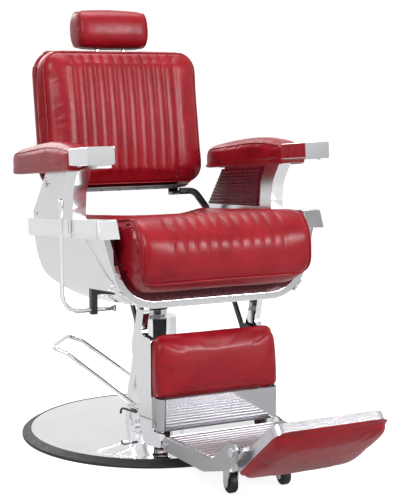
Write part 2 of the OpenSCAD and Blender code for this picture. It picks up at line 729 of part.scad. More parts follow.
module calf_pad() color(leather)
    loft([for (side = [1, -1], i = [0:5])
        let (e = calf_ends[side > 0 ? i : 5 - i], x = side * (calf_w / 2 - e[0]))
        [for (q = calf_profile)
            [x, calf_back - q[0] * (45 - 17 * q[1]) * e[1],
             calf_z0 + (q[1] * (1 - 2 * e[2]) + e[2]) * (calf_z1 - calf_z0)]]]);

flip_profile = [[0, 0], [-0.01, 0.4], [0.02, 0.75], [0.07, 0.94], [0.15, 1.02], [0.3, 1.08], [0.5, 1.1],
    [0.7, 1.08], [0.85, 1.02], [0.93, 0.94], [0.98, 0.75], [1.01, 0.4], [1, 0]];

module flip_pad() color(leather) at_flip()
    loft([for (side = [1, -1], i = [0:5])
        let (e = calf_ends[side > 0 ? i : 5 - i], x = side * (flip_w / 2 - e[0]))
        [for (q = flip_profile)
            [x, flip_near - q[0] * flip_l, -flip_top - flip_t - q[1] * flip_pad_t * e[1]]]]);

// ---------------------------------------------------------------- recline lever

module recline_bracket() color(blacked) difference() {
    block(-246, -230, handle_y - 9, handle_y + 9, shaft_z - 11, 450);
    raked() plate_y(handle_y - 60, handle_y + 60) tub_section(-seat_gap / 3);
    pin_x(-250, -226, [handle_y, shaft_z], handle_d / 2 + fit);
}

module recline_rod() color(chrome) {
    bend = 46;
    translate([-handle_x, handle_y, shaft_z + bend]) cylinder(h = handle_top - 6 - shaft_z - bend, r = handle_d / 2);
    translate([-handle_x + bend, handle_y, shaft_z + bend]) rotate([90, 0, 0]) rotate([0, 0, 180])
        rotate_extrude(angle = 90) translate([bend, 0]) circle(handle_d / 2);
    pin_x(-handle_x + bend, -178, [handle_y, shaft_z], handle_d / 2);
    pin_x(-183, -178, [handle_y, shaft_z], handle_d / 2 + 3);
}

module recline_knob() color(blacked) translate([-handle_x, handle_y, handle_top - 6]) rotate_extrude()
    polygon(rounded([[0, 0, 0], [5.5, 0, 0], [8, 8, 3], [8, 30, 7], [0, 30, 0]]));

// ---------------------------------------------------------------- back

// outline of a bar of width w along a list of points
function edge_of(p, w) = [
    for (i = [0:len(p) - 1])
        let (a = unit(p[i] - p[max(i - 1, 0)] + (i == 0 ? p[1] - p[0] : [0, 0])),
             b = unit(p[min(i + 1, len(p) - 1)] - p[i] + (i == len(p) - 1 ? p[i] - p[i - 1] : [0, 0])),
             m = unit([-a[1] - b[1], a[0] + b[0]]))
        p[i] + m * w / (m * [-a[1], a[0]])];
function reversed(p) = [for (i = [len(p) - 1:-1:0]) p[i]];
module strip(p, w) polygon(concat(edge_of(p, w / 2), reversed(edge_of(p, -w / 2))));

module back_frame() color(blacked) {
    difference() {
        union() {
            pin_x(-back_tube, back_tube, pivot_b, shaft_r);
            both_sides() plate_y(pivot_b[0] - 5, pivot_b[0] + 5)
                strip(bent([[[150, back_foot[2] - 20], 0], [[196, back_foot[2] - 20], 34],
                    [[back_tube - 9, 592], 34], [[back_tube - 9, pivot_b[1]], 0]]), 18);
            both_sides() plate_x(lever_x0, lever_x1) {
                strip([pivot_b, lever_knee, link_q], 18);
                translate(lever_knee) circle(9);
                translate(pivot_b) circle(shaft_r + 6);
                translate(link_q) circle(11);
            }
            both_sides() pin_x(lever_x0, link_x1 + 1.5, link_q, link_r);
        }
        pin_x(-back_tube - 1, back_tube + 1, pivot_b, back_pin_r + fit);
    }
    at_back() both_sides() {
        block(150, 180, -9, shell_d0 + 6, -25, -17);
        block(150, 180, shell_d0, shell_d0 + 6, -25, 250);
    }
}

module back_outline(inset) polygon(rounded([
    [-back_w / 2 + inset, inset, back_corner - inset], [back_w / 2 - inset, inset, back_corner - inset],
    [back_w / 2 - inset, back_h - inset, back_corner - inset],
    [-back_w / 2 + inset, back_h - inset, back_corner - inset]], 8));

module back_board() color(blacked) at_back() plate_y(cushion_t, shell_d0 - seat_gap) back_outline(12);

module back_shell() color(leather) at_back() difference() {
    plate_y(shell_d0, back_t) back_outline(1);
    plate_y(shell_d0 - 1, back_t - 4) back_outline(5);
    both_sides() block(148, 182, shell_d0 - 1, shell_d0 + 8, -2, 8);
    for (s = [-1, 1]) translate([s * post_x, post_d, back_h - 20]) cylinder(h = 30, r = 10.5);
}

module back_strip() at_back() {
    color(chrome) block(-165, 165, 2, cushion_t - 4, -4.5, -0.5);
    color(blacked) block(-161, 161, 6, cushion_t - 8, -8.5, -4.5);
    for (x = [-140:56:140]) color(steel) translate([x, 16, -10.5]) cylinder(h = 2, r = 4, $fn = 24);
}

module headrest_sockets() color(chrome) at_back()
    for (s = [-1, 1]) translate([s * post_x, post_d, 0]) difference() {
        union() {
            translate([0, 0, back_h - 135]) cylinder(h = 135, r = 10);
            translate([0, 0, back_h - 0.5]) cylinder(h = 4.5, r = 13);
        }
        translate([0, 0, back_h - 140]) cylinder(h = 150, r = post_r + fit);
    }

module headrest_posts() color(chrome) at_back()
    for (s = [-1, 1]) translate([s * post_x, post_d, back_h - 122])
        cylinder(h = head_c[1] - back_h + 122 - 2, r = post_r);

// ---------------------------------------------------------------- footrest

module foot_arm() color(chrome) difference() {
    union() {
        plate_x(foot_x0, foot_x1) polygon(rounded([
            [-320, 461, 18], [-279, 459, 18], [-250, 351, 24], [-221, 295, 60], [-246, 241, 60], [-266, 158, 0],
            [-279, 102, 30], [-293, 65, 12], [-327, 59, 20], [-402, 73, 9], [-402, 90, 6], [-386, 106, 6],
            [-349, 104, 0], [-349, 184, 0], [-345, 189, 0], [-345, 331, 10], [-296, 331, 12], [-290, 345, 12]]));
        plate_x(foot_x0, tread_side) polygon(rounded([
            [-390, foot_bolt[1] - 11, 0], [-390, foot_bolt[1] + 11, 0],
            [foot_bolt[0] - 11, foot_bolt[1] + 11, 10], [foot_bolt[0] - 11, foot_bolt[1] - 11, 10]]));
        pin_x(link_x0 - 1.5, foot_x0 + 1, link_g, link_r);
        pin_x(link_x0 - 4.5, link_x0 - 1.5, link_g, link_r + 4);
    }
    pin_x(foot_x0 - 1, foot_x1 + 1, pivot_f, foot_pin_r + fit);
    pin_x(foot_x0 - 1, foot_x1 + 1, foot_bolt, 5);
}

module foot_arm_left() foot_arm();
module foot_arm_right() other_side() foot_arm();

module calf_board() color(blacked) block(-foot_x0 - 8, foot_x0 + 8, calf_back, calf_back + 7, calf_z0 + 6, calf_z1 - 32);

module kick_plate() color(chrome) translate([0, 0, kick_z0]) linear_extrude(calf_z0 - 1 - kick_z0) difference() {
    polygon(rounded([[-kick_half, -349, 0], [kick_half, -349, 0],
        [kick_half, kick_front, 18], [-kick_half, kick_front, 18]]));
    polygon(rounded([[3 - kick_half, -348, 0], [kick_half - 3, -348, 0],
        [kick_half - 3, kick_front + 3, 15], [3 - kick_half, kick_front + 3, 15]]));
}

function tread_low(y) = tread_z0 + (tread_rear - y) * tread_slope;
tread_pitch = (tread_rear - tread_front) / tread_ribs;

module foot_tread() color(chrome) {
    plate_x(-tread_side, tread_side) polygon(concat(
        [[tread_rear, tread_low(tread_rear)], [tread_front, tread_low(tread_front)]],
        [for (i = [tread_ribs - 1:-1:0])
            let (y = tread_rear - i * tread_pitch, z = tread_low(y - tread_pitch) + tread_z1 - tread_z0)
            each [[y - tread_pitch, z], [y - tread_pitch * 0.8, z + tread_tooth], [y - tread_pitch * 0.2, z + tread_tooth]]],
        [[tread_rear, tread_low(tread_rear) + tread_z1 - tread_z0]]));
    both_sides() difference() {
        plate_x(tread_side, tread_side + flange_t2) polygon(rounded([
            [-407, 71, 10], [-407, 103, 10], [-430, 104, 20], [-665, 116, 60], [-745, 179, 14], [-780, 176, 14],
            [-780, 146, 14], [-753, 119, 30], [-705, 100, 40], [-622, 76, 60], [-432, 70, 10]]));
        pin_x(tread_side - 1, tread_side + flange_t2 + 1, foot_bolt, 5);
        pin_x(tread_side - 1, tread_side + flange_t2 + 1, flip_pivot, 6);
    }
}

module foot_bolts() color(steel) both_sides() {
    pin_x(foot_x0, tread_side + flange_t2, foot_bolt, 5);
    pin_x(tread_side + flange_t2, tread_side + flange_t2 + 4, foot_bolt, 9);
}

module caster_forks() color(chrome) for (s = [-1, 1]) translate([s * caster_x, 0, 0]) {
    plate_x(-wheel_w / 2 - 5, wheel_w / 2 + 5) polygon([
        [caster_y + 24, tread_low(caster_y + 24)], [caster_y - 24, tread_low(caster_y - 24)],
        [caster_y - 24, tread_low(caster_y) - 6], [caster_y + 24, tread_low(caster_y) - 6]]);
    both_sides() plate_x(wheel_w / 2 + swing_gap, wheel_w / 2 + swing_gap + fork_t) {
        translate([caster_y, caster_z]) circle(10);
        polygon([[caster_y + 22, tread_low(caster_y) - 5], [caster_y - 22, tread_low(caster_y) - 5],
            [caster_y - 10, caster_z], [caster_y + 10, caster_z]]);
    }
    pin_x(-wheel_w / 2 - 6, wheel_w / 2 + 6, [caster_y, caster_z], 4);
}

module caster_wheel() color(rubber) translate([0, caster_y, caster_z]) rotate([0, 90, 0])
    rotate_extrude() polygon(rounded([
        [4 + fit, -wheel_w / 2, 0], [wheel_r, -wheel_w / 2, 4], [wheel_r, wheel_w / 2, 4], [4 + fit, wheel_w / 2, 0]]));

module caster_wheel_left() translate([caster_x, 0, 0]) caster_wheel();
module caster_wheel_right() translate([-caster_x, 0, 0]) caster_wheel();

// ---------------------------------------------------------------- flip panel

module flip_board() color(chrome) at_flip() translate([0, 0, -flip_top - flip_t]) linear_extrude(flip_t)
    polygon(rounded([[-flip_w / 2, flip_near, 12], [flip_w / 2, flip_near, 12],
        [flip_w / 2, flip_far, 24], [-flip_w / 2, flip_far, 24]]));

module flip_hinges() color(chrome) at_flip() both_sides() difference() {
    plate_x(flip_w / 2 - 15, flip_w / 2 + 15) {
        circle(flip_top - 0.5);
        polygon([[24, -flip_top], [6, 7], [-6, 7], [-24, -flip_top]]);
    }
    pin_x(flip_w / 2 - 20, flip_w / 2 + 20, [0, 0], 6 + fit);
}

module flip_pins() color(steel) both_sides() {
    pin_x(flip_w / 2 - 20, tread_side + flange_t2, flip_pivot, 6);
    pin_x(tread_side + flange_t2, tread_side + flange_t2 + 5, flip_pivot, 10);
}

// ---------------------------------------------------------------- links

module link_bars() color(blacked) {
    both_sides() difference() {
        plate_x(link_x0, link_x1) {
            strip(concat([link_g], link_knees, [link_q]), 16);
            for (p = link_knees) translate(p) circle(8);
            translate(link_g) circle(9);
            translate(link_q) circle(12);
        }
        pin_x(link_x0 - 1, link_x1 + 1, link_g, link_r + fit);
        pin_x(link_x0 - 1, link_x1 + 1, link_q, link_r + 0.5);
    }
    pin_x(-link_x0 - 1, link_x0 + 1, link_g + [45, -3], 5);
}

// ---------------------------------------------------------------- pieces

base_dish();
base_rubber_ring();
base_plate();
base_bolts();
pump_cylinder();
pump_gland();
pump_sleeve();
lever_bracket();
lever_pins();
pump_lever();
lever_hook();
piston_ram();
seat_hub();
seat_frame();
seat_board();
seat_cushion();
front_band();
seat_apron();
band_clips();
side_shell_right();
side_shell_left();
side_beam_right();
side_beam_left();
arm_frame_right();
arm_frame_left();
arm_panel_right();
arm_panel_left();
arm_pad_right();
arm_pad_left();
arm_cap_right();
arm_cap_left();
recline_bracket();
back_pins();
foot_pins();
seat_bolts();
recline_rod();
recline_knob();
back_frame();
back_board();
back_shell();
back_cushion();
back_strip();
headrest_sockets();
headrest_posts();
headrest_cushion();
foot_arm_right();
foot_arm_left();
calf_board();
calf_pad();
kick_plate();
foot_tread();
foot_bolts();
caster_forks();
caster_wheel_right();
caster_wheel_left();
flip_board();
flip_pad();
flip_hinges();
flip_pins();
link_bars();
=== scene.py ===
import bpy
import bmesh
import json
import math
import numpy as np
from mathutils import Matrix, Vector, noise
from mathutils.bvhtree import BVHTree


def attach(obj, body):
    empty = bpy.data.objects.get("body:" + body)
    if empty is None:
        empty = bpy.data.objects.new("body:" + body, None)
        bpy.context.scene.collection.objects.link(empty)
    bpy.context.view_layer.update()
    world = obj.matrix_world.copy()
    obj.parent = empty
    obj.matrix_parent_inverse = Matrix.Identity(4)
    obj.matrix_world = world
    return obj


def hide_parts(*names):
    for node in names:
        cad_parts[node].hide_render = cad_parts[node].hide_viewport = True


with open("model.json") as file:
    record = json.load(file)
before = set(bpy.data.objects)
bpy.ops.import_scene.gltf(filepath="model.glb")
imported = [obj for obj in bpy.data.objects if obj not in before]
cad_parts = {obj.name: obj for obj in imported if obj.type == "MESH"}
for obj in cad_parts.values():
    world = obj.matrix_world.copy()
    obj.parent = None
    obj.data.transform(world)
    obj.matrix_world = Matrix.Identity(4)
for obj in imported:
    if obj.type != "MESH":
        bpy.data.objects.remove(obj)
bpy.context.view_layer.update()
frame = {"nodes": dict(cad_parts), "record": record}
scene = bpy.context.scene

# sizes in metres, angles in degrees
studio = dict(azimuth=-26.516, elevation=7.341, target=(-0.0619, -0.4074, 0.5563), distance=3.0177,
              lens=112.38, film=36, reach=60)
seatFrame = dict(rake=4.7, pivotZ=0.6)
backFrame = dict(foot=(0, 0.158, 0.664), lean=9.2)
flipFrame = dict(pivot=(0, -0.762, 0.158), tilt=38)
channel = dict(pitch=0.0298, count=5, pillow=0.0026, cut=0.0024, width=0.0020, seatShare=0.65)


# ---- places

def leanMatrix(origin, degrees):
    return Matrix.Translation(origin) @ Matrix.Rotation(math.radians(-degrees), 4, "X")


seatPivot = Vector((0, 0, seatFrame["pivotZ"]))
seatPlace = leanMatrix(seatPivot, seatFrame["rake"]) @ Matrix.Translation(-seatPivot)
backPlace = leanMatrix(Vector(backFrame["foot"]), backFrame["lean"])
flipPlace = leanMatrix(Vector(flipFrame["pivot"]), flipFrame["tilt"])


def smooth(a, b, x):
    t = np.clip((x - a) / (b - a), 0, 1)
    return t * t * (3 - 2 * t)


# ---- materials

def fillRamp(made, stops):
    while len(made.color_ramp.elements) < len(stops):
        made.color_ramp.elements.new(0.5)
    for element, (position, colour) in zip(made.color_ramp.elements, stops):
        element.position = position
        element.color = (*colour, 1)


class Shade:
    def __init__(self, name):
        self.material = bpy.data.materials.new(name)
        self.material.use_nodes = True
        self.tree = self.material.node_tree
        self.shader = self.tree.nodes["Principled BSDF"]
        self.where = self.node("ShaderNodeTexCoord").outputs["Object"]
        self.bumps = []

    def node(self, kind, **values):
        made = self.tree.nodes.new(kind)
        for key, value in values.items():
            setattr(made, key, value)
        return made

    def link(self, a, b):
        self.tree.links.new(a, b)

    def put(self, **values):
        for key, value in values.items():
            self.shader.inputs[key.replace("_", " ")].default_value = value

    def noise(self, scale, detail=3, rough=0.55, stretch=None):
        made = self.node("ShaderNodeTexNoise")
        made.inputs["Scale"].default_value = scale
        made.inputs["Detail"].default_value = detail
        made.inputs["Roughness"].default_value = rough
        self.link(self.stretched(stretch), made.inputs["Vector"])
        return made.outputs["Fac"]

    def stretched(self, stretch):
        if not stretch:
            return self.where
        made = self.node("ShaderNodeMapping")
        made.inputs["Scale"].default_value = stretch
        self.link(self.where, made.inputs["Vector"])
        return made.outputs["Vector"]

    def cells(self, scale, feature="F1"):
        made = self.node("ShaderNodeTexVoronoi", feature=feature)
        made.inputs["Scale"].default_value = scale
        self.link(self.where, made.inputs["Vector"])
        return made.outputs["Distance"]

    def ramp(self, value, stops):
        made = self.node("ShaderNodeValToRGB")
        fillRamp(made, stops)
        self.link(value, made.inputs["Fac"])
        return made.outputs["Color"]

    def span(self, value, low, high, fromLow=0.3, fromHigh=0.7):
        made = self.node("ShaderNodeMapRange")
        for key, number in (("From Min", fromLow), ("From Max", fromHigh), ("To Min", low), ("To Max", high)):
            made.inputs[key].default_value = number
        self.link(value, made.inputs["Value"])
        return made.outputs["Result"]

    def colour(self, socket):
        self.link(socket, self.shader.inputs["Base Color"])

    def rough(self, socket):
        self.link(socket, self.shader.inputs["Roughness"])

    def bump(self, value, depth, strength=1.0):
        made = self.node("ShaderNodeBump")
        made.inputs["Distance"].default_value = depth
        made.inputs["Strength"].default_value = strength
        self.link(value, made.inputs["Height"])
        if self.bumps:
            self.link(self.bumps[-1], made.inputs["Normal"])
        self.bumps.append(made.outputs["Normal"])
        self.link(made.outputs["Normal"], self.shader.inputs["Normal"])


def metal(name, tone, roughLow, roughHigh, brushed=None, depth=0.00004):
    shade = Shade(name)
    shade.put(Metallic=1.0)
    cloud = shade.noise(9, 4)
    shade.colour(shade.ramp(cloud, [(0.25, tuple(c * 0.93 for c in tone)), (0.75, tone)]))
    smear = shade.noise(34, 5, 0.6, brushed)
    shade.rough(shade.span(smear, roughLow, roughHigh))
    shade.bump(shade.noise(260, 2, 0.5, brushed), depth, 0.25)
    return shade.material


def leather(name, dark, mid, light, roughLow=0.28, roughHigh=0.38):
    shade = Shade(name)
    shade.put(Specular_IOR_Level=0.25, Coat_Weight=0.03, Coat_Roughness=0.18)
    mottle = shade.noise(11, 8, 0.68)
    shade.colour(shade.ramp(mottle, [(0.30, dark), (0.5, mid), (0.72, light)]))
    shade.rough(shade.span(shade.noise(90, 4), roughLow, roughHigh))
    shade.bump(shade.noise(30, 3), 0.0006, 0.3)
    shade.bump(shade.cells(520), 0.00018, 0.45)
    shade.bump(shade.noise(1500, 2), 0.00007, 0.35)
    return shade.material


def plain(name, tone, roughLow, roughHigh, grain, depth, metallic=0.0):
    shade = Shade(name)
    shade.put(Metallic=metallic)
    shade.colour(shade.ramp(shade.noise(14, 4), [(0.3, tuple(c * 0.8 for c in tone)), (0.7, tone)]))
    shade.rough(shade.span(shade.noise(60, 4), roughLow, roughHigh))
    shade.bump(shade.noise(grain, 3), depth, 0.5)
    return shade.material


floorLight = dict(tone=0.54, seen=0.80, mirrorNear=0.10, mirrorFar=0.62, nearBy=2.2, farOff=5.0)


# white to the eye, dimmer in the chrome, and still dark enough to hold a shadow
def paleFloor(name):
    shade = Shade(name)
    shade.put(Base_Color=(*[floorLight["tone"]] * 3, 1), Roughness=0.85, Specular_IOR_Level=0.2)
    shade.put(Emission_Color=(1, 1, 1, 1))
    path = shade.node("ShaderNodeLightPath")
    glow = shade.node("ShaderNodeMath", operation="MULTIPLY")
    glow.inputs[1].default_value = floorLight["seen"]
    shade.link(path.outputs["Is Camera Ray"], glow.inputs[0])
    # the far floor and the sweep shine brighter in the chrome than the floor close by
    away = shade.node("ShaderNodeVectorMath", operation="LENGTH")
    shade.link(shade.where, away.inputs[0])
    mirrored = shade.node("ShaderNodeMath", operation="MULTIPLY_ADD")
    shine = shade.span(away.outputs["Value"], floorLight["mirrorNear"], floorLight["mirrorFar"],
                       floorLight["nearBy"], floorLight["farOff"])
    shade.link(shine, mirrored.inputs[1])
    shade.link(path.outputs["Is Glossy Ray"], mirrored.inputs[0])
    shade.link(glow.outputs["Value"], mirrored.inputs[2])
    shade.link(mirrored.outputs["Value"], shade.shader.inputs["Emission Strength"])
    return shade.material


def wood(name):
    shade = Shade(name)
    rings = shade.noise(18, 5, 0.6, (1, 9, 1))
    shade.colour(shade.ramp(rings, [(0.3, (0.28, 0.17, 0.08)), (0.7, (0.5, 0.34, 0.19))]))
    shade.rough(shade.span(rings, 0.55, 0.75))
    shade.bump(rings, 0.0003, 0.5)
    return shade.material


looks = {
    "chrome": metal("polishedChrome", (0.90, 0.895, 0.915), 0.035, 0.085),
    "satin": metal("satinChrome", (0.60, 0.59, 0.615), 0.20, 0.30, (1, 14, 14)),
    "aluminium": metal("polishedAluminium", (0.80, 0.795, 0.815), 0.19, 0.25),
    # the kick plate's chrome is painted darker: painted shade for the dim reflections it shows
    "smoky": metal("kickChrome", (0.45, 0.438, 0.46), 0.05, 0.10),
    # the tread's ribbed chrome is painted darker: painted shade standing in for less lamp light on it
    "ribbedSteel": metal("ribbedSteel", (0.47, 0.465, 0.485), 0.34, 0.44, (1, 14, 14)),
    "steel": metal("turnedSteel", (0.66, 0.67, 0.69), 0.20, 0.34),
    "black_steel": plain("blackEnamel", (0.020, 0.020, 0.022), 0.28, 0.42, 300, 0.00012),
    "red_leather": leather("redLeather", (0.200, 0.0030, 0.0078), (0.268, 0.0050, 0.0118),
                           (0.335, 0.0105, 0.0205)),
    "piping": leather("redPiping", (0.200, 0.0034, 0.0080), (0.265, 0.0056, 0.0120),
                      (0.320, 0.0105, 0.0190)),
    "thread": plain("redThread", (0.200, 0.006, 0.010), 0.55, 0.7, 1800, 0.0001),
    "maroon": leather("maroonVinyl", (0.080, 0.003, 0.010), (0.115, 0.005, 0.014),
                      (0.145, 0.008, 0.020), 0.24, 0.36),
    "black_rubber": plain("blackRubber", (0.022, 0.021, 0.021), 0.45, 0.62, 420, 0.0002),
    "black_plastic": plain("blackPlastic", (0.018, 0.018, 0.019), 0.32, 0.46, 500, 0.0001),
    "plywood": wood("plywood"),
    "floor": paleFloor("paleFloor"),
}

# a node wears the look of its slot, apart from these
nodeLook = {
    "flip_board": "satin",
    "foot_tread": "ribbedSteel",
    "arm_frame_right": "aluminium",
    "arm_frame_left": "aluminium",
    "kick_plate": "smoky",
}
slotLook = {"maroon_trim": "maroon"}


def dress(piece, look):
    slots = piece.material_slots
    if not slots:
        piece.data.materials.append(looks[look])
    for s in slots:
        s.material = looks[look]


for entry in frame["record"]["subparts"]:
    name, slotName = entry["node"], entry["material_slot"]
    dress(frame["nodes"][name], nodeLook.get(name, slotLook.get(slotName, slotName)))
print("materials on", len(frame["nodes"]), "nodes")


# ---- piece helpers

def added(name, mesh):
    piece = bpy.data.objects.new(name, mesh)
    scene.collection.objects.link(piece)
    return piece


def points(mesh):
    co = np.empty(len(mesh.vertices) * 3)
    mesh.vertices.foreach_get("co", co)
    return co.reshape(-1, 3)


def normals(mesh):
    out = np.empty(len(mesh.vertices) * 3)
    mesh.vertex_normals.foreach_get("vector", out)
    return out.reshape(-1, 3)


def place(mesh, co):
    mesh.vertices.foreach_set("co", np.ascontiguousarray(co, dtype=float).reshape(-1))
    mesh.update()


def baked(piece):
    graph = bpy.context.evaluated_depsgraph_get()
    graph.update()
    mesh = bpy.data.meshes.new_from_object(piece.evaluated_get(graph))
    old = piece.data
    piece.modifiers.clear()
    piece.data = mesh
    bpy.data.meshes.remove(old)
    return piece


def shiny(piece):
    piece.data.polygons.foreach_set("use_smooth", [True] * len(piece.data.polygons))
    piece.data.update()


def local(co, matrix):
    inverse = np.array(matrix.inverted())
    return co @ inverse[:3, :3].T + inverse[:3, 3]


def turned(v, matrix):
    return v @ np.array(matrix)[:3, :3].T


def catmull(p0, p1, p2, p3, t):
    square = 2 * p0 - 5 * p1 + 4 * p2 - p3
    cube = 3 * p1 - 3 * p2 + p3 - p0
    return 0.5 * (2 * p1 + (p2 - p0) * t + square * t ** 2 + cube * t ** 3)


# rows of a grid read at fractional positions; closed grids wrap round
def between(grid, where, closed=False):
    n = len(grid)
    base = np.floor(where).astype(int)
    t = (where - base).reshape((-1,) + (1,) * (grid.ndim - 1))
    pick = [(base + k) % n if closed else np.clip(base + k, 0, n - 1) for k in (-1, 0, 1, 2)]
    return catmull(*(grid[i] for i in pick), t)


# a closed outline with its points spread evenly, first point kept
def evenRing(ring, count):
    fine = between(ring, np.arange(0, len(ring), 0.1), True)
    steps = np.linalg.norm(np.roll(fine, -1, 0) - fine, axis=1)
    run = np.concatenate([[0], np.cumsum(steps)])
    fine = np.vstack([fine, fine[:1]])
    at = np.linspace(0, run[-1], count, endpoint=False)
    return np.stack([np.interp(at, run, fine[:, k]) for k in range(fine.shape[1])], 1)


# outlines with their two ends closed by rings that shrink to a point
def capped(rings, shrink):
    first, last = rings[0], rings[-1]
    a, b = first.mean(0), last.mean(0)
    opening = [a + (first - a) * k for k in shrink]
    closing = [b + (last - b) * k for k in shrink[::-1]]
    return np.array(opening + list(rings) + closing)


def gridMesh(name, grid):
    rows, count = grid.shape[:2]
    co = np.vstack([grid[0][:1], grid[1:-1].reshape(-1, 3), grid[-1][:1]])
    last = len(co) - 1
    faces = []
    for i in range(count):
        j = (i + 1) % count
        faces.append((0, 1 + j, 1 + i))
        faces.append((last, 1 + (rows - 3) * count + i, 1 + (rows - 3) * count + j))
    for r in range(rows - 3):
        a, b = 1 + r * count, 1 + (r + 1) * count
        faces += [(a + i, a + (i + 1) % count, b + (i + 1) % count, b + i) for i in range(count)]
    mesh = bpy.data.meshes.new(name)
    mesh.from_pydata(co.tolist(), [], faces)
    bm = bmesh.new()
    bm.from_mesh(mesh)
    if bm.calc_volume(signed=True) < 0:
        bmesh.ops.reverse_faces(bm, faces=bm.faces)
    bm.to_mesh(mesh)
    bm.free()
    return added(name, mesh)


def gridOf(piece, rows, count):
    co = points(piece.data)
    return np.concatenate([np.repeat(co[:1], count, 0)[None], co[1:-1].reshape(rows - 2, count, 3),
                           np.repeat(co[-1:], count, 0)[None]])


cloth = dict(pressure=3.0, quality=4, stretch=18, bend=0.5, frames=14)


# the grid filled with air as cloth, held where it rests, then read back as a grid
def inflated(name, grid, held, cap, pull):
    piece = gridMesh(name + "Cloth", grid)
    rows, count = grid.shape[:2]
    start = points(piece.data)
    fixed = held(start)
    start = start - normals(piece.data) * (pull * (1 - fixed))[:, None]
    place(piece.data, start)
    group = piece.vertex_groups.new(name="held")
    group.add([int(i) for i in np.nonzero(fixed > 0.5)[0]], 1.0, "REPLACE")
    blow = piece.modifiers.new("blow", "CLOTH")
    blow.settings.quality = cloth["quality"]
    blow.settings.use_pressure = True
    blow.settings.uniform_pressure_force = cloth["pressure"]
    blow.settings.vertex_group_mass = "held"
    blow.settings.effector_weights.gravity = 0
    blow.settings.tension_stiffness = cloth["stretch"]
    blow.settings.compression_stiffness = cloth["stretch"]
    blow.settings.bending_stiffness = cloth["bend"]
    blow.collision_settings.use_collision = False
    blow.collision_settings.use_self_collision = False
    blow.point_cache.frame_start = 1
    blow.point_cache.frame_end = cloth["frames"]
    for f in range(1, cloth["frames"] + 1):
        scene.frame_set(f)
    baked(piece)
    moved = points(piece.data) - start
    far = np.linalg.norm(moved, axis=1)
    print(name, "swelled", round(float(far.mean()) * 1000, 2), "mm on average")
    place(piece.data, start + moved * np.minimum(1, cap / np.maximum(far, 1e-9))[:, None])
    scene.frame_set(1)
    out = gridOf(piece, rows, count)
    bpy.data.objects.remove(piece)
    return out


# shallow random folds, the same on every run
def crumple(co, size, depth, seed):
    shift = Vector((seed, 0, 0))
    return np.array([noise.fractal(Vector(p) * (1 / size) + shift, 1.0, 2.0, 3) for p in co]) * depth


# how far a round of radius r falls back at t past its start
def setBack(t, r):
    t = np.clip(t, 0, r)
    return r - np.sqrt(np.maximum(0, r * r - t * t))


# stations across a channelled cushion, close together at the seams
def channelStations(half, borders):
    pitch, count = channel["pitch"], channel["count"]
    near = [0, 0.05, 0.11, 0.2, 0.34, 0.5, 0.66, 0.8, 0.89, 0.95]
    middle = [(k + n) * pitch for k in range(-count, count) for n in near] + [count * pitch]
    edge = [half - b for b in borders]
    return np.array([-e for e in edge] + middle + edge[::-1])


def seamDepth(x):
    pitch, count = channel["pitch"], channel["count"]
    near = np.abs((x + pitch / 2) % pitch - pitch / 2)
    inside = smooth((count + 0.45) * pitch, (count + 0.05) * pitch, np.abs(x))
    pillow = channel["pillow"] * (1 - 2 * near / pitch) ** 2
    groove = channel["cut"] * np.exp(-(near / channel["width"]) ** 2)
    return inside * (pillow + groove)


def finishSoft(piece, body, node):
    shiny(piece)
    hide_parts(node)
    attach(piece, body)
    piece.data.materials.clear()
    piece.data.materials.append(looks["red_leather"])
    print("soft piece", piece.name, len(piece.data.polygons))


# a welt or rod: a round tube along points
def tube(name, path, radius, body, look, closed=False, sides=10):
    curve = bpy.data.curves.new(name, "CURVE")
    curve.dimensions = "3D"
    curve.bevel_depth = radius
    curve.bevel_resolution = max(1, sides // 4)
    curve.use_fill_caps = True
    spline = curve.splines.new("POLY")
    spline.points.add(len(path) - 1)
    for target, p in zip(spline.points, path):
        target.co = (*p, 1)
    spline.use_cyclic_u = closed
    holder = added(name + "Path", curve)
    graph = bpy.context.evaluated_depsgraph_get()
    mesh = bpy.data.meshes.new_from_object(holder.evaluated_get(graph))
    bpy.data.objects.remove(holder)
    piece = added(name, mesh)
    shiny(piece)
    piece.data.materials.clear()
    piece.data.materials.append(looks[look])
    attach(piece, body)
    return piece


# a cord of piping laid on a soft piece: the path is drawn to the surface, then eased
def piping(name, piece, path, body, radius=0.0022, closed=True, sink=0.3, ease=3, look="piping"):
    tree = BVHTree.FromObject(piece, bpy.context.evaluated_depsgraph_get())
    out = []
    for p in path:
        spot, normal, _, _ = tree.find_nearest(Vector(p))
        out.append(spot + normal * (radius * (1 - sink)))
    out = np.array(out)
    for _ in range(ease):
        mid = (np.roll(out, 1, 0) + np.roll(out, -1, 0)) / 2
        if not closed:
            mid[0], mid[-1] = out[0], out[-1]
        out = (out + mid) / 2
    return tube(name, out, radius, body, look, closed)


def toWorld(co, matrix):
    m = np.array(matrix)
    return np.asarray(co) @ m[:3, :3].T + m[:3, 3]


# ---- seat cushion

seatSize = dict(width=0.470, rear=0.138, board=0.490, dish=0.022, side=0.020, front=0.026, corner=0.050)
# side view: depth, height, and how far top, front and underside take part in the rounding
seatProfile = np.array([
    [0, 0, 0, 0, 0], [-120, 0, 0, 0, 0], [-330, 0, 0, 0, 0], [-483, 0, 0, 0, 0], [-483, -38, 0, 0, 0.4],
    [-484, -70, 0, 0, 1], [-500, -73, 0, 0, 1], [-517, -69, 0, 0, 1], [-540, -60, 0, 0.3, 0.8],
    [-558, -47, 0, 0.6, 0.5], [-570, -30, 0, 0.9, 0.2], [-577, -8, 0, 1, 0], [-579, 38, 0.1, 1, 0],
    [-573, 60, 0.3, 0.95, 0], [-561, 81, 0.6, 0.7, 0], [-544, 98, 0.8, 0.4, 0], [-522, 109, 1, 0.1, 0],
    [-493, 113, 1, 0, 0], [-438, 114, 1, 0, 0], [-350, 114, 1, 0, 0], [-260, 114, 1, 0, 0],
    [-170, 114, 1, 0, 0], [-90, 114, 1, 0, 0], [-36, 113, 1, 0, 0], [-11, 107, 0.8, 0, 0],
    [-1, 90, 0.4, 0, 0], [0, 50, 0, 0, 0]])


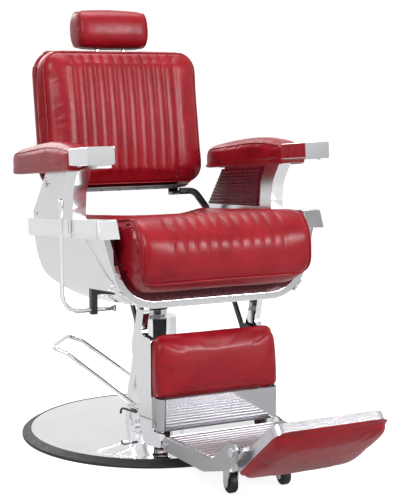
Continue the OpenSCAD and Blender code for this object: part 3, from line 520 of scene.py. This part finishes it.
def seatRing(x):
    q = seatProfile[:, :2] / 1000
    top, front, under = seatProfile[:, 2], seatProfile[:, 3], seatProfile[:, 4]
    edge = abs(x) - seatSize["width"] / 2
    low = np.clip((-q[:, 0] - 0.140) / -0.300 + 1.4, 0, 1)
    sunk = seatSize["dish"] * max(0, 1 - (x / 0.195) ** 2) * np.clip((q[:, 0] + 0.480) / 0.340, 0, 1)
    drop = setBack(edge + seatSize["side"], seatSize["side"]) + sunk * low
    back = setBack(edge + seatSize["front"], seatSize["front"])
    rise = setBack(edge + seatSize["corner"], seatSize["corner"])
    y = seatSize["rear"] + q[:, 0] + front * back
    z = seatSize["board"] + q[:, 1] - top * drop + under * rise
    return np.stack([np.full(len(y), x), y, z], 1)


def seatHeld(co):
    at = local(co, seatPlace)
    return smooth(0.4945, 0.4905, at[:, 2]) * (at[:, 1] > -0.343)


borders = [0.0, 0.0012, 0.004, 0.009, 0.015, 0.022, 0.030, 0.040, 0.052, 0.066, 0.078]


def coarseStations(half, middle, count):
    edge = half - np.array(borders)
    return np.concatenate([-edge, np.linspace(-middle, middle, count), edge[::-1]])


rings = np.array([evenRing(seatRing(x), 190) for x in coarseStations(seatSize["width"] / 2, 0.148, 38)])
grid = capped(rings, [0, 0.2, 0.4, 0.6, 0.78, 0.9, 0.97])
grid = inflated("seat", toWorld(grid, seatPlace), seatHeld, 0.0045, 0.0022)


# lines of the grid moved so that one falls on every sewn seam, and more of them round the section, by the share given
# in turns
def refined(grid, capRows, xs, matrix, turns):
    flat = local(grid.reshape(-1, 3), matrix).reshape(grid.shape)
    mid = flat[capRows:-capRows].mean(1)[:, 0]
    where = np.interp(xs, mid, np.arange(len(mid))) + capRows
    rowsAt = np.concatenate([np.arange(capRows), where, np.arange(len(grid) - capRows, len(grid))])
    out = between(grid, rowsAt)
    count = grid.shape[1]
    out = between(out.transpose(1, 0, 2), np.arange(0, count, 1 / turns), True).transpose(1, 0, 2)
    out[0], out[-1] = grid[0][0], grid[-1][0]
    return out


grid = refined(grid, 7, channelStations(seatSize["width"] / 2, borders), seatPlace, 1.5)
seat = gridMesh("seatLeather", grid)
mesh = seat.data
co, nor = points(mesh), normals(mesh)
at, nl = local(co, seatPlace), turned(nor, seatPlace.inverted())
# channels run over the top and down the front roll, and stop short of the rear edge
onTop = smooth(0.35, 0.7, nl[:, 2])
onFront = smooth(0.3, 0.8, -nl[:, 1]) * smooth(0.49, 0.56, at[:, 2])
facing = np.maximum(onTop, onFront)
facing *= smooth(0.128, 0.112, at[:, 1]) * (at[:, 2] > 0.5)
free = 1 - seatHeld(co)
folds = crumple(co, 0.13, 0.0009, 3) * free
place(mesh, co - nor * (channel["seatShare"] * seamDepth(at[:, 0]) * facing + folds)[:, None])
finishSoft(seat, "seat", "seat_cushion")

# the piping runs along both sides, under the front roll and over the rear edge
edgeX = 0.2275
ring = evenRing(seatRing(edgeX), 400)
start = max(range(400), key=lambda k: ring[k][1] - 40 * abs(ring[k][2] - 0.605) * (ring[k][2] < 0.6))
ring = np.roll(ring, -start, 0)
if ring[40][1] > ring[-40][1]:
    ring = np.roll(ring[::-1], 1, 0)
last = next(k for k in range(60, 400) if ring[k][2] < 0.452)
first = next(k for k in range(60) if ring[k][1] < 0.118)
leftCord = ring[first:last]
top, foot = leftCord[0], leftCord[-1]
across = np.linspace(-edgeX + 0.012, edgeX - 0.012, 60)
under = [(x, foot[1], foot[2]) for x in across]
rear = [(x, top[1] + 0.004, top[2]) for x in np.linspace(edgeX - 0.012, -edgeX + 0.012, 60)]
rightCord = [(-p[0], p[1], p[2]) for p in leftCord]
cord = toWorld(rightCord + under + list(leftCord[::-1]) + rear, seatPlace)
piping("seatPiping", seat, cord, "seat", 0.0024, ease=6)

# ---- back cushion

backSize = dict(width=0.480, height=0.389, depth=0.060, corner=0.062, roll=0.034, crown=0.012)
# side view: share of the depth, share of the height
backProfile = np.array([
    [1, 0.02], [0.55, 0], [0.25, 0.012], [0.08, 0.045], [0, 0.1], [0, 0.18], [0, 0.28], [0, 0.38], [0, 0.5],
    [0, 0.62], [0, 0.72], [0, 0.82], [0, 0.9], [0.08, 0.955], [0.25, 0.988], [0.55, 1], [1, 0.98],
    [1, 0.8], [1, 0.6], [1, 0.4], [1, 0.2]])


def backRing(x):
    deep, up = backProfile[:, 0], backProfile[:, 1]
    edge = abs(x) - backSize["width"] / 2
    end = setBack(edge + backSize["corner"], backSize["corner"])
    z = end + up * (backSize["height"] - 2 * end)
    crown = backSize["crown"] * (1 - (2 * x / backSize["width"]) ** 4) * np.sin(np.pi * up)
    front = setBack(edge + backSize["roll"], backSize["roll"]) - crown
    return np.stack([np.full(len(z), x), deep * backSize["depth"] + (1 - deep) * front, z], 1)


def backHeld(co):
    return smooth(0.054, 0.058, local(co, backPlace)[:, 1])


rings = np.array([evenRing(backRing(x), 130) for x in coarseStations(backSize["width"] / 2, 0.154, 40)])
grid = capped(rings, [0, 0.3, 0.6, 0.82, 0.95])
grid = inflated("back", toWorld(grid, backPlace), backHeld, 0.0045, 0.002)
grid = refined(grid, 5, channelStations(backSize["width"] / 2, borders), backPlace, 1.6)
back = gridMesh("backLeather", grid)
mesh = back.data
co, nor = points(mesh), normals(mesh)
at, nl = local(co, backPlace), turned(nor, backPlace.inverted())
facing = smooth(0.25, 0.75, -nl[:, 1]) * smooth(0.012, 0.030, at[:, 2]) * smooth(0.377, 0.357, at[:, 2])
free = 1 - backHeld(co)
folds = crumple(co, 0.14, 0.0008, 11) * free
place(mesh, co - nor * (seamDepth(at[:, 0]) * facing + folds)[:, None])
finishSoft(back, "back", "back_cushion")


def roundedRing(halfW, low, high, radius, depth, count=10):
    out = []
    for cx, cz, a0 in ((halfW - radius, high - radius, 0), (-halfW + radius, high - radius, 90),
                       (-halfW + radius, low + radius, 180), (halfW - radius, low + radius, 270)):
        for i in range(count):
            a = math.radians(a0 + 90 * i / (count - 1))
            out.append((cx + radius * math.cos(a), depth, cz + radius * math.sin(a)))
    return out


# closed lines round the back: half width, lowest, highest, corner radius, depth
backLines = {
    "front": (0.237, 0.003, 0.386, 0.060, 0.012),
    "rear": (0.240, 0.0, 0.389, 0.062, 0.056),
    "welt": (0.2372, 0.0028, 0.3862, 0.0595, 0.0664),
    "seam": (0.226, 0.014, 0.375, 0.050, 0.002),
}


def roundBack(line):
    return toWorld(evenRing(np.array(roundedRing(*backLines[line], 12)), 260), backPlace)


piping("backPiping", back, roundBack("front"), "back", 0.0022, ease=5)
piping("backRearPiping", back, roundBack("rear"), "back", 0.0020, ease=3)

# ---- head rest, arm pads, calf pad and flip pad

headSize = dict(half=0.109, centre=(0.080, 0.456), depth=0.050, height=0.055)
headEnds = [(0, 0.62), (0.002, 0.76), (0.006, 0.87), (0.013, 0.95), (0.024, 1.0), (0.054, 1.03), (0.109, 1.04)]
padSize = dict(width=0.074, railTop=0.730, inner=0.265, post=0.035, mid=0.296, gap=0.0003,
               front=-0.245, rear=0.203)
# along an arm pad: run and height in millimetres, share of the width
padStations = [(0, 42, 0.94), (6, 46, 1), (60, 57, 1), (110, 64, 1), (160, 67, 1), (230, 66, 1),
               (300, 63, 1), (360, 60, 1), (405, 57, 1), (430, 53, 0.97), (443, 42, 0.86), (448, 32, 0.8)]
corner = dict(calfTop=0.026, calfLow=0.010, flip=0.028)
padEnds = [(0, 0.62), (0.003, 0.82), (0.010, 0.95), (0.026, 1), (0.060, 1.03), (0.110, 1.05)]
calfSize = dict(half=0.167, back=-0.352, low=0.190, high=0.332)
calfProfile = np.array([[0, 0], [0.5, -0.01], [0.8, 0.02], [0.97, 0.09], [1, 0.2], [1.03, 0.35], [1.03, 0.5],
                        [1.02, 0.65], [0.98, 0.8], [0.9, 0.91], [0.7, 0.98], [0.4, 1.01], [0, 1]])
flipSize = dict(half=0.140, near=0.048, length=0.210, top=0.034, deep=0.024)
flipProfile = np.array([[0, 0], [0.0, 0.3], [0.02, 0.62], [0.06, 0.86], [0.13, 1.0], [0.28, 1.1], [0.5, 1.14],
                        [0.72, 1.1], [0.87, 1.0], [0.94, 0.86], [0.98, 0.62], [1.0, 0.3], [1, 0]])


def headRing(x):
    scale = np.interp(headSize["half"] - abs(x), [e[0] for e in headEnds], [e[1] for e in headEnds])
    a = np.radians(18 * np.arange(20)[::-1] + 9)
    squircle = lambda v: np.sign(np.cos(v)) * np.abs(np.cos(v)) ** 0.8
    return np.stack([np.full(20, x), headSize["centre"][0] + headSize["depth"] * scale * squircle(a),
                     headSize["centre"][1] + headSize["height"] * scale * squircle(a - np.pi / 2)], 1)


def padRing(y):
    run = (y - padSize["front"]) / (padSize["rear"] - padSize["front"]) * 448
    at = [s[0] for s in padStations]
    h = np.interp(run, at, [s[1] for s in padStations]) / 1000
    k = np.interp(run, at, [s[2] for s in padStations])
    w, rail = padSize["width"] / 2 * k, padSize["railTop"]
    lip = rail - 0.010 * k
    a = padSize["inner"] - padSize["mid"] - padSize["gap"]
    b = padSize["inner"] + padSize["post"] - padSize["mid"] + padSize["gap"]
    ring = [(-w + 0.001, lip + 0.002), (a, lip), (a, rail), (b, rail), (b, lip), (w - 0.005, lip),
            (w, lip + 0.006), (w, rail + h * 0.62), (w - 0.003, rail + h * 0.8), (w - 0.010, rail + h * 0.93),
            (w - 0.022, rail + h), (-w + 0.022, rail + h), (-w + 0.010, rail + h * 0.93),
            (-w + 0.003, rail + h * 0.8), (-w, rail + h * 0.62), (-w, lip + 0.006)]
    return np.array([(padSize["mid"] + px, y, pz) for px, pz in ring])


def rounding(e, radius):
    return radius - math.sqrt(max(0, radius ** 2 - max(0, radius - e) ** 2))


def calfRing(x):
    e = calfSize["half"] - abs(x)
    grow = np.interp(e, [v[0] for v in padEnds], [v[1] for v in padEnds])
    q = calfProfile
    low = calfSize["low"] + rounding(e, corner["calfLow"])
    high = calfSize["high"] - rounding(e, corner["calfTop"])
    y = calfSize["back"] - q[:, 0] * (0.045 - 0.017 * q[:, 1]) * grow
    return np.stack([np.full(len(y), x), y, low + q[:, 1] * (high - low)], 1)


def flipRing(x):
    e = flipSize["half"] - abs(x)
    grow = np.interp(e, [v[0] for v in padEnds], [v[1] for v in padEnds])
    q = flipProfile
    cut = rounding(e, corner["flip"])
    return np.stack([np.full(len(q), x), flipSize["near"] - cut - q[:, 0] * (flipSize["length"] - 2 * cut),
                     -flipSize["top"] - q[:, 1] * flipSize["deep"] * grow], 1)


def acrossPlaces(half):
    edge = [0, 0.001, 0.0025, 0.005, 0.009, 0.015, 0.023, 0.033]
    middle = np.linspace(-half + 0.042, half - 0.042, int(half * 290))
    return np.concatenate([[-(half - e) for e in edge], middle, [half - e for e in edge[::-1]]])


def alongPad():
    a, b = padSize["front"], padSize["rear"]
    return np.concatenate([[a, a + 0.0015, a + 0.004], np.linspace(a + 0.009, b - 0.022, 64),
                           [b - 0.016, b - 0.011, b - 0.007, b - 0.004, b - 0.0018, b]])


nowhere = lambda co: np.zeros(len(co))
onRail = lambda co: smooth(0.735, 0.732, local(co, seatPlace)[:, 2])
onBoard = lambda co: smooth(-0.3565, -0.3535, co[:, 1])
onPanel = lambda co: smooth(-0.038, -0.0355, local(co, flipPlace)[:, 2])
soft = [
    ("headrest_cushion", "headrestLeather", "headrest", backPlace, headRing,
     acrossPlaces(headSize["half"]), 84, nowhere, 0.9, 1),
    ("arm_pad_left", "armPadLeft", "seat", seatPlace, padRing, alongPad(), 84, onRail, 0.9, 1),
    ("arm_pad_right", "armPadRight", "seat", seatPlace, padRing, alongPad(), 84, onRail, 0.9, -1),
    ("calf_pad", "calfLeather", "footrest", Matrix(), calfRing,
     acrossPlaces(calfSize["half"]), 90, onBoard, 0.85, 1),
    ("flip_pad", "flipLeather", "flip_panel", flipPlace, flipRing,
     acrossPlaces(flipSize["half"]), 110, onPanel, 0.85, 1),
]
made = {}
for k, (node, name, body, where, section, places, count, held, fill, hand) in enumerate(soft):
    rings = np.array([evenRing(section(v), count) for v in places])
    grid = capped(rings, [0, 0.3, 0.55, 0.78, 0.92])
    grid[:, :, 0] *= hand
    grid = inflated(name, toWorld(grid, where), held, 0.003, 0.0012)
    piece = gridMesh(name, grid)
    divide = piece.modifiers.new("fine", "SUBSURF")
    divide.levels = divide.render_levels = 1
    baked(piece)
    co, nor = points(piece.data), normals(piece.data)
    place(piece.data, co - nor * (crumple(co, 0.08, 0.0006, 20 + k) * (1 - held(co)))[:, None])
    finishSoft(piece, body, node)
    made[name] = piece

for hand, name in ((-1, "Right"), (1, "Left")):
    ring = evenRing(headRing(hand * (headSize["half"] - 0.009)), 90)
    piping("headPiping" + name, made["headrestLeather"], toWorld(ring, backPlace), "headrest", 0.0017)
    outline = []
    for y in alongPad()[2:-3]:
        ring = padRing(y)
        outline.append((ring[8][0], y, ring[8][2]))
    inner = [(2 * padSize["mid"] - p[0], p[1], p[2]) for p in outline[::-1]]
    path = np.array([(hand * p[0], p[1], p[2]) for p in outline + inner])
    piping("armPiping" + name, made["armPad" + name], toWorld(path, seatPlace), "seat", 0.0014, sink=0.5, ease=4,
           look="red_leather")

# ---- leather back shell

def skinned(name, rings, matrix):
    bm = bmesh.new()
    loops = [[bm.verts.new(matrix @ Vector(p)) for p in ring] for ring in rings]
    for a, b in zip(loops, loops[1:]):
        for i in range(len(a)):
            j = (i + 1) % len(a)
            bm.faces.new((a[i], a[j], b[j], b[i]))
    bm.faces.new(list(reversed(loops[0])))
    bm.faces.new(loops[-1])
    bmesh.ops.recalc_face_normals(bm, faces=bm.faces)
    out = bpy.data.meshes.new(name)
    bm.to_mesh(out)
    bm.free()
    return added(name, out)


# depth behind the back's foot, and how far the outline stands inside the back's
shellSteps = [(0.0725, 0.004), (0.0735, 0.0015), (0.080, 0.001), (0.094, 0.0025), (0.101, 0.006),
              (0.1055, 0.012), (0.1075, 0.022), (0.108, 0.06), (0.1080, 0.11), (0.108, 0.15)]
shellRings = []
for depth, inset in shellSteps:
    bend = max(backSize["corner"] - inset, 0.03)
    shellRings.append(roundedRing(backSize["width"] / 2 - inset, inset, backSize["height"] - inset, bend, depth, 14))
shell = skinned("backShellLeather", shellRings, backPlace)
divide = shell.modifiers.new("fine", "SUBSURF")
divide.levels = divide.render_levels = 2
baked(shell)
shiny(shell)
finishSoft(shell, "back", "back_shell")

# a welt closes the seam where the back's leather meets its board
tube("backWelt", roundBack("welt"), 0.0066, "back", "piping", closed=True, sides=12)

# ---- metal, rubber and board pieces: edges eased, round faces smooth

bodyOf = {node: body for body, nodes in frame["record"]["behaviour"]["bodies"].items() for node in nodes}
easedEdge = dict(width=0.0007, steps=2, angle=32)
ribbed = {"foot_tread"}
play = {"lever_pins": 0.0002}      # turning pins keep a hair of room in their holes
leatherNodes = {"seat_cushion", "back_cushion", "back_shell", "headrest_cushion", "calf_pad", "flip_pad",
                "arm_pad_right", "arm_pad_left"}


def eased(node):
    words = node.split("_")
    piece = added(words[0] + "".join(w.capitalize() for w in words[1:]), frame["nodes"][node].data.copy())
    bm = bmesh.new()
    bm.from_mesh(piece.data)
    bmesh.ops.remove_doubles(bm, verts=bm.verts, dist=0.000004)
    bmesh.ops.dissolve_limit(bm, angle_limit=math.radians(0.4), verts=bm.verts, edges=bm.edges)
    sharp = math.radians(easedEdge["angle"])
    hard = [e for e in bm.edges if len(e.link_faces) == 2 and e.calc_face_angle(0) > sharp and e.calc_length() > 0.0004]
    if node not in ribbed:
        bmesh.ops.bevel(bm, geom=hard, offset=easedEdge["width"], segments=easedEdge["steps"], profile=0.6,
                        affect="EDGES", clamp_overlap=True)
    bm.to_mesh(piece.data)
    bm.free()
    if node in play:
        place(piece.data, points(piece.data) - normals(piece.data) * play[node])
    shiny(piece)
    piece.data.set_sharp_from_angle(angle=sharp)
    # flat faces keep their own normal, so they mirror as flat plates
    flat = piece.modifiers.new("flat", "WEIGHTED_NORMAL")
    flat.keep_sharp = True
    flat.weight = 100
    baked(piece)
    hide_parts(node)
    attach(piece, bodyOf[node])
    return piece


for entry in frame["record"]["subparts"]:
    if entry["node"] not in leatherNodes:
        eased(entry["node"])
print("eased the edges of", len(frame["nodes"]) - len(leatherNodes), "pieces")

# ---- repeats: trees of geometry nodes lay ribs along edges and stitches along seams

def grownTree(name, wanted):
    tree = bpy.data.node_groups.new(name, "GeometryNodeTree")
    tree.interface.new_socket("Geometry", in_out="INPUT", socket_type="NodeSocketGeometry")
    for label, kind in wanted:
        tree.interface.new_socket(label, in_out="INPUT", socket_type="NodeSocket" + kind)
    tree.interface.new_socket("Geometry", in_out="OUTPUT", socket_type="NodeSocketGeometry")
    return tree, tree.nodes.new("NodeGroupInput").outputs


def finishTree(tree, geometry, given):
    realized = tree.nodes.new("GeometryNodeRealizeInstances")
    painted = tree.nodes.new("GeometryNodeSetMaterial")
    tree.links.new(geometry, realized.inputs["Geometry"])
    tree.links.new(realized.outputs["Geometry"], painted.inputs["Geometry"])
    tree.links.new(given["Material"], painted.inputs["Material"])
    tree.links.new(painted.outputs["Geometry"], tree.nodes.new("NodeGroupOutput").inputs["Geometry"])
    return tree


def ribTree():
    tree, given = grownTree("ribs", [("Radius", "Float"), ("Material", "Material")])
    lines = tree.nodes.new("GeometryNodeMeshToCurve")
    circle = tree.nodes.new("GeometryNodeCurvePrimitiveCircle")
    circle.inputs["Resolution"].default_value = 12
    swept = tree.nodes.new("GeometryNodeCurveToMesh")
    swept.inputs["Fill Caps"].default_value = True
    tree.links.new(given["Geometry"], lines.inputs["Mesh"])
    tree.links.new(given["Radius"], circle.inputs["Radius"])
    tree.links.new(lines.outputs["Curve"], swept.inputs["Curve"])
    tree.links.new(circle.outputs["Curve"], swept.inputs["Profile Curve"])
    return finishTree(tree, swept.outputs["Mesh"], given)


def stitchTree():
    tree, given = grownTree("stitches", [("Size", "Vector"), ("Material", "Material")])
    bead = tree.nodes.new("GeometryNodeMeshUVSphere")
    bead.inputs["Segments"].default_value = 6
    bead.inputs["Rings"].default_value = 4
    bead.inputs["Radius"].default_value = 0.5
    turned = None
    for axis, label in (("Z", "facing"), ("Y", "along")):
        vector = tree.nodes.new("GeometryNodeInputNamedAttribute")
        vector.data_type = "FLOAT_VECTOR"
        vector.inputs["Name"].default_value = label
        align = tree.nodes.new("FunctionNodeAlignRotationToVector")
        align.axis = axis
        if turned:
            align.pivot_axis = "Z"
            tree.links.new(turned, align.inputs["Rotation"])
        tree.links.new(vector.outputs["Attribute"], align.inputs["Vector"])
        turned = align.outputs["Rotation"]
    spread = tree.nodes.new("GeometryNodeInstanceOnPoints")
    tree.links.new(given["Geometry"], spread.inputs["Points"])
    tree.links.new(bead.outputs["Mesh"], spread.inputs["Instance"])
    tree.links.new(turned, spread.inputs["Rotation"])
    tree.links.new(given["Size"], spread.inputs["Scale"])
    return finishTree(tree, spread.outputs["Instances"], given)


def grown(name, mesh, tree, values, body, look):
    piece = added(name, mesh)
    rows = piece.modifiers.new("rows", "NODES")
    rows.node_group = tree
    values["Material"] = looks[look]
    for item in tree.interface.items_tree:
        if item.in_out == "INPUT" and item.name in values:
            rows[item.identifier] = values[item.name]
    baked(piece)
    shiny(piece)
    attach(piece, body)
    return piece


panelRibs = dict(count=11, low=0.609, pitch=0.1 / 11, face=0.2595, radius=0.0019, inset=0.005)
stitch = dict(pitch=0.0046, size=(0.0009, 0.0034, 0.0007))
ribs, stitches = ribTree(), stitchTree()
for hand, side in ((-1, "Right"), (1, "Left")):
    ends = []
    for k in range(panelRibs["count"]):
        z = panelRibs["low"] + (k + 0.6) * panelRibs["pitch"]
        near = np.interp(z, [0.609, 0.676, 0.717], [-0.101, -0.113, -0.140]) + panelRibs["inset"]
        upper, lower = np.interp(z, [0.617, 0.715], [0.190, 0.093]), np.interp(z, [0.609, 0.617], [-0.101, 0.190])
        far = min(upper, lower) - panelRibs["inset"]
        ends += [(hand * panelRibs["face"], near, z), (hand * panelRibs["face"], far, z)]
    mesh = bpy.data.meshes.new("ribLines")
    mesh.from_pydata(toWorld(ends, seatPlace).tolist(), [(k, k + 1) for k in range(0, len(ends), 2)], [])
    grown("panelRibs" + side, mesh, ribs, {"Radius": panelRibs["radius"]}, "seat", "maroon")


def sewn(name, piece, path, body, closed=True):
    path = np.array(path)
    if closed:
        path = np.vstack([path, path[:1]])
    run = np.concatenate([[0], np.cumsum(np.linalg.norm(np.diff(path, axis=0), axis=1))])
    at = np.arange(0, run[-1], stitch["pitch"])
    spots = np.stack([np.interp(at, run, path[:, k]) for k in range(3)], 1)
    ahead = np.stack([np.interp(at + 0.001, run, path[:, k]) for k in range(3)], 1) - spots
    tree = BVHTree.FromObject(piece, bpy.context.evaluated_depsgraph_get())
    found = [tree.find_nearest(Vector(p)) for p in spots]
    mesh = bpy.data.meshes.new("seam")
    mesh.from_pydata([tuple(spot) for spot, *_ in found], [], [])
    for label, vectors in (("facing", [tuple(normal) for _, normal, *_ in found]), ("along", ahead)):
        layer = mesh.attributes.new(label, "FLOAT_VECTOR", "POINT")
        layer.data.foreach_set("vector", np.array(vectors, float).ravel())
    grown(name, mesh, stitches, {"Size": stitch["size"]}, body, "thread")


sewn("backStitches", back, roundBack("seam"), "back")
# a fault left as it is: ring holds an arm pad's outline by now, not the seat's,
# so these stitches gather at the seat's rear corners
for hand, name in ((-1, "Right"), (1, "Left")):
    line = [(hand * (edgeX - 0.010), p[1], p[2]) for p in ring[first:last]]
    sewn("seatStitches" + name, seat, toWorld(line, seatPlace), "seat", closed=False)
print("laid ribs and stitches")

# ---- studio

# brightness of the surroundings from straight down to straight up, then once round the horizon
skyStops = [(0.0, 0.9), (0.47, 0.95), (0.495, 0.55), (0.52, 0.42), (0.56, 0.85), (0.70, 1.0), (1.0, 0.8)]
flagStops = [(0.0, 1.0), (0.05, 0.45), (0.09, 1.0), (0.17, 1.0), (0.20, 0.30), (0.225, 1.0), (0.33, 1.0),
             (0.36, 0.35), (0.40, 1.0), (0.52, 1.0), (0.56, 0.40), (0.60, 1.0), (0.76, 1.0), (0.80, 0.35),
             (0.83, 1.0), (1.0, 1.0)]
skyLight = dict(shed=0.40, seen=1.0)


def studioSetup():
    camera = bpy.data.objects.new("camera", bpy.data.cameras.new("camera"))
    scene.collection.objects.link(camera)
    a, e = math.radians(studio["azimuth"]), math.radians(studio["elevation"])
    back3 = Vector((math.sin(a) * math.cos(e), -math.cos(a) * math.cos(e), math.sin(e)))
    right = Vector((math.cos(a), math.sin(a), 0))
    up = back3.cross(right)
    m = Matrix((right, up, back3)).transposed().to_4x4()
    m.translation = Vector(studio["target"]) + back3 * studio["distance"]
    camera.matrix_world = m
    camera.data.lens = studio["lens"]
    camera.data.sensor_width = studio["film"]
    camera.data.sensor_fit = "HORIZONTAL"
    camera.data.clip_end = studio["reach"]
    scene.camera = camera

    bm = bmesh.new()
    rows = []
    radius, backY = 2.5, 4.5
    profile = [(-9.0, 0.0), (backY, 0.0)]
    for t in range(6, 91, 6):
        a = math.radians(t)
        profile.append((backY + radius * math.sin(a), radius - radius * math.cos(a)))
    profile += [(backY + radius, 9.0)]
    turn = Matrix.Rotation(math.radians(studio["azimuth"]), 4, "Z")
    for y, z in profile:
        rows.append([bm.verts.new(turn @ Vector((x, y, z - 0.0005))) for x in (-12, 12)])
    for p, q in zip(rows, rows[1:]):
        bm.faces.new((p[0], p[1], q[1], q[0]))
    out = bpy.data.meshes.new("sweep")
    bm.to_mesh(out)
    bm.free()
    sweep = added("sweep", out)
    shiny(sweep)
    sweep.data.materials.append(looks["floor"])

    world = bpy.data.worlds.new("studio")
    scene.world = world
    world.use_nodes = True
    tree = world.node_tree
    backdrop = tree.nodes["Background"]
    where = tree.nodes.new("ShaderNodeTexCoord").outputs["Generated"]
    split = tree.nodes.new("ShaderNodeSeparateXYZ")
    tree.links.new(where, split.inputs["Vector"])
    ramp = tree.nodes.new("ShaderNodeValToRGB")
    fillRamp(ramp, [(at, (v, v, v)) for at, v in skyStops])
    shift = tree.nodes.new("ShaderNodeMapRange")
    shift.inputs["From Min"].default_value = -1
    tree.links.new(split.outputs["Z"], shift.inputs["Value"])
    tree.links.new(shift.outputs["Result"], ramp.inputs["Fac"])
    # tall dark flags stand round the studio, so that round chrome shows upright streaks
    around = tree.nodes.new("ShaderNodeTexGradient")
    around.gradient_type = "RADIAL"
    tree.links.new(where, around.inputs["Vector"])
    flags = tree.nodes.new("ShaderNodeValToRGB")
    fillRamp(flags, [(at, (v, v, v)) for at, v in flagStops])
    tree.links.new(around.outputs["Fac"], flags.inputs["Fac"])
    both = tree.nodes.new("ShaderNodeMix")
    both.data_type, both.blend_type = "RGBA", "MULTIPLY"
    both.inputs["Factor"].default_value = 1.0
    tree.links.new(ramp.outputs["Color"], both.inputs["A"])
    tree.links.new(flags.outputs["Color"], both.inputs["B"])
    plainView = tree.nodes.new("ShaderNodeMix")
    plainView.data_type = "RGBA"
    plainView.inputs["B"].default_value = (1, 1, 1, 1)
    tree.links.new(both.outputs["Result"], plainView.inputs["A"])
    tree.links.new(plainView.outputs["Result"], backdrop.inputs["Color"])
    # the camera sees plain white, chrome mirrors the flags, and the light shed is lower
    path = tree.nodes.new("ShaderNodeLightPath")
    tree.links.new(path.outputs["Is Camera Ray"], plainView.inputs["Factor"])
    seen = tree.nodes.new("ShaderNodeMath")
    seen.operation = "MAXIMUM"
    tree.links.new(path.outputs["Is Camera Ray"], seen.inputs[0])
    tree.links.new(path.outputs["Is Glossy Ray"], seen.inputs[1])
    level = tree.nodes.new("ShaderNodeMapRange")
    level.inputs["To Min"].default_value = skyLight["shed"]
    level.inputs["To Max"].default_value = skyLight["seen"]
    tree.links.new(seen.outputs["Value"], level.inputs["Value"])
    tree.links.new(level.outputs["Result"], backdrop.inputs["Strength"])

    def softbox(name, where3, aim, sizes, power):
        light = bpy.data.lights.new(name, "AREA")
        light.shape = "RECTANGLE"
        light.size, light.size_y = sizes
        light.energy = power
        lamp = bpy.data.objects.new(name, light)
        scene.collection.objects.link(lamp)
        lamp.location = where3
        lamp.rotation_euler = (Vector(aim) - Vector(where3)).to_track_quat("-Z", "Y").to_euler()

    softbox("keyLight", (-2.4, -2.4, 2.6), (0, -0.1, 0.5), (1.3, 1.3), 72)
    softbox("fillLight", (1.75, -3.4, 2.0), (0, -0.1, 0.6), (0.9, 1.3), 92)
    softbox("topLight", (0.2, 0.4, 3.4), (0, 0, 0.5), (1.8, 1.8), 62)
    softbox("rearLight", (-0.6, 2.8, 2.2), (0, 0.2, 0.6), (2.4, 1.4), 40)
    scene.view_settings.view_transform = "Standard"
    scene.view_settings.look = "None"


studioSetup()
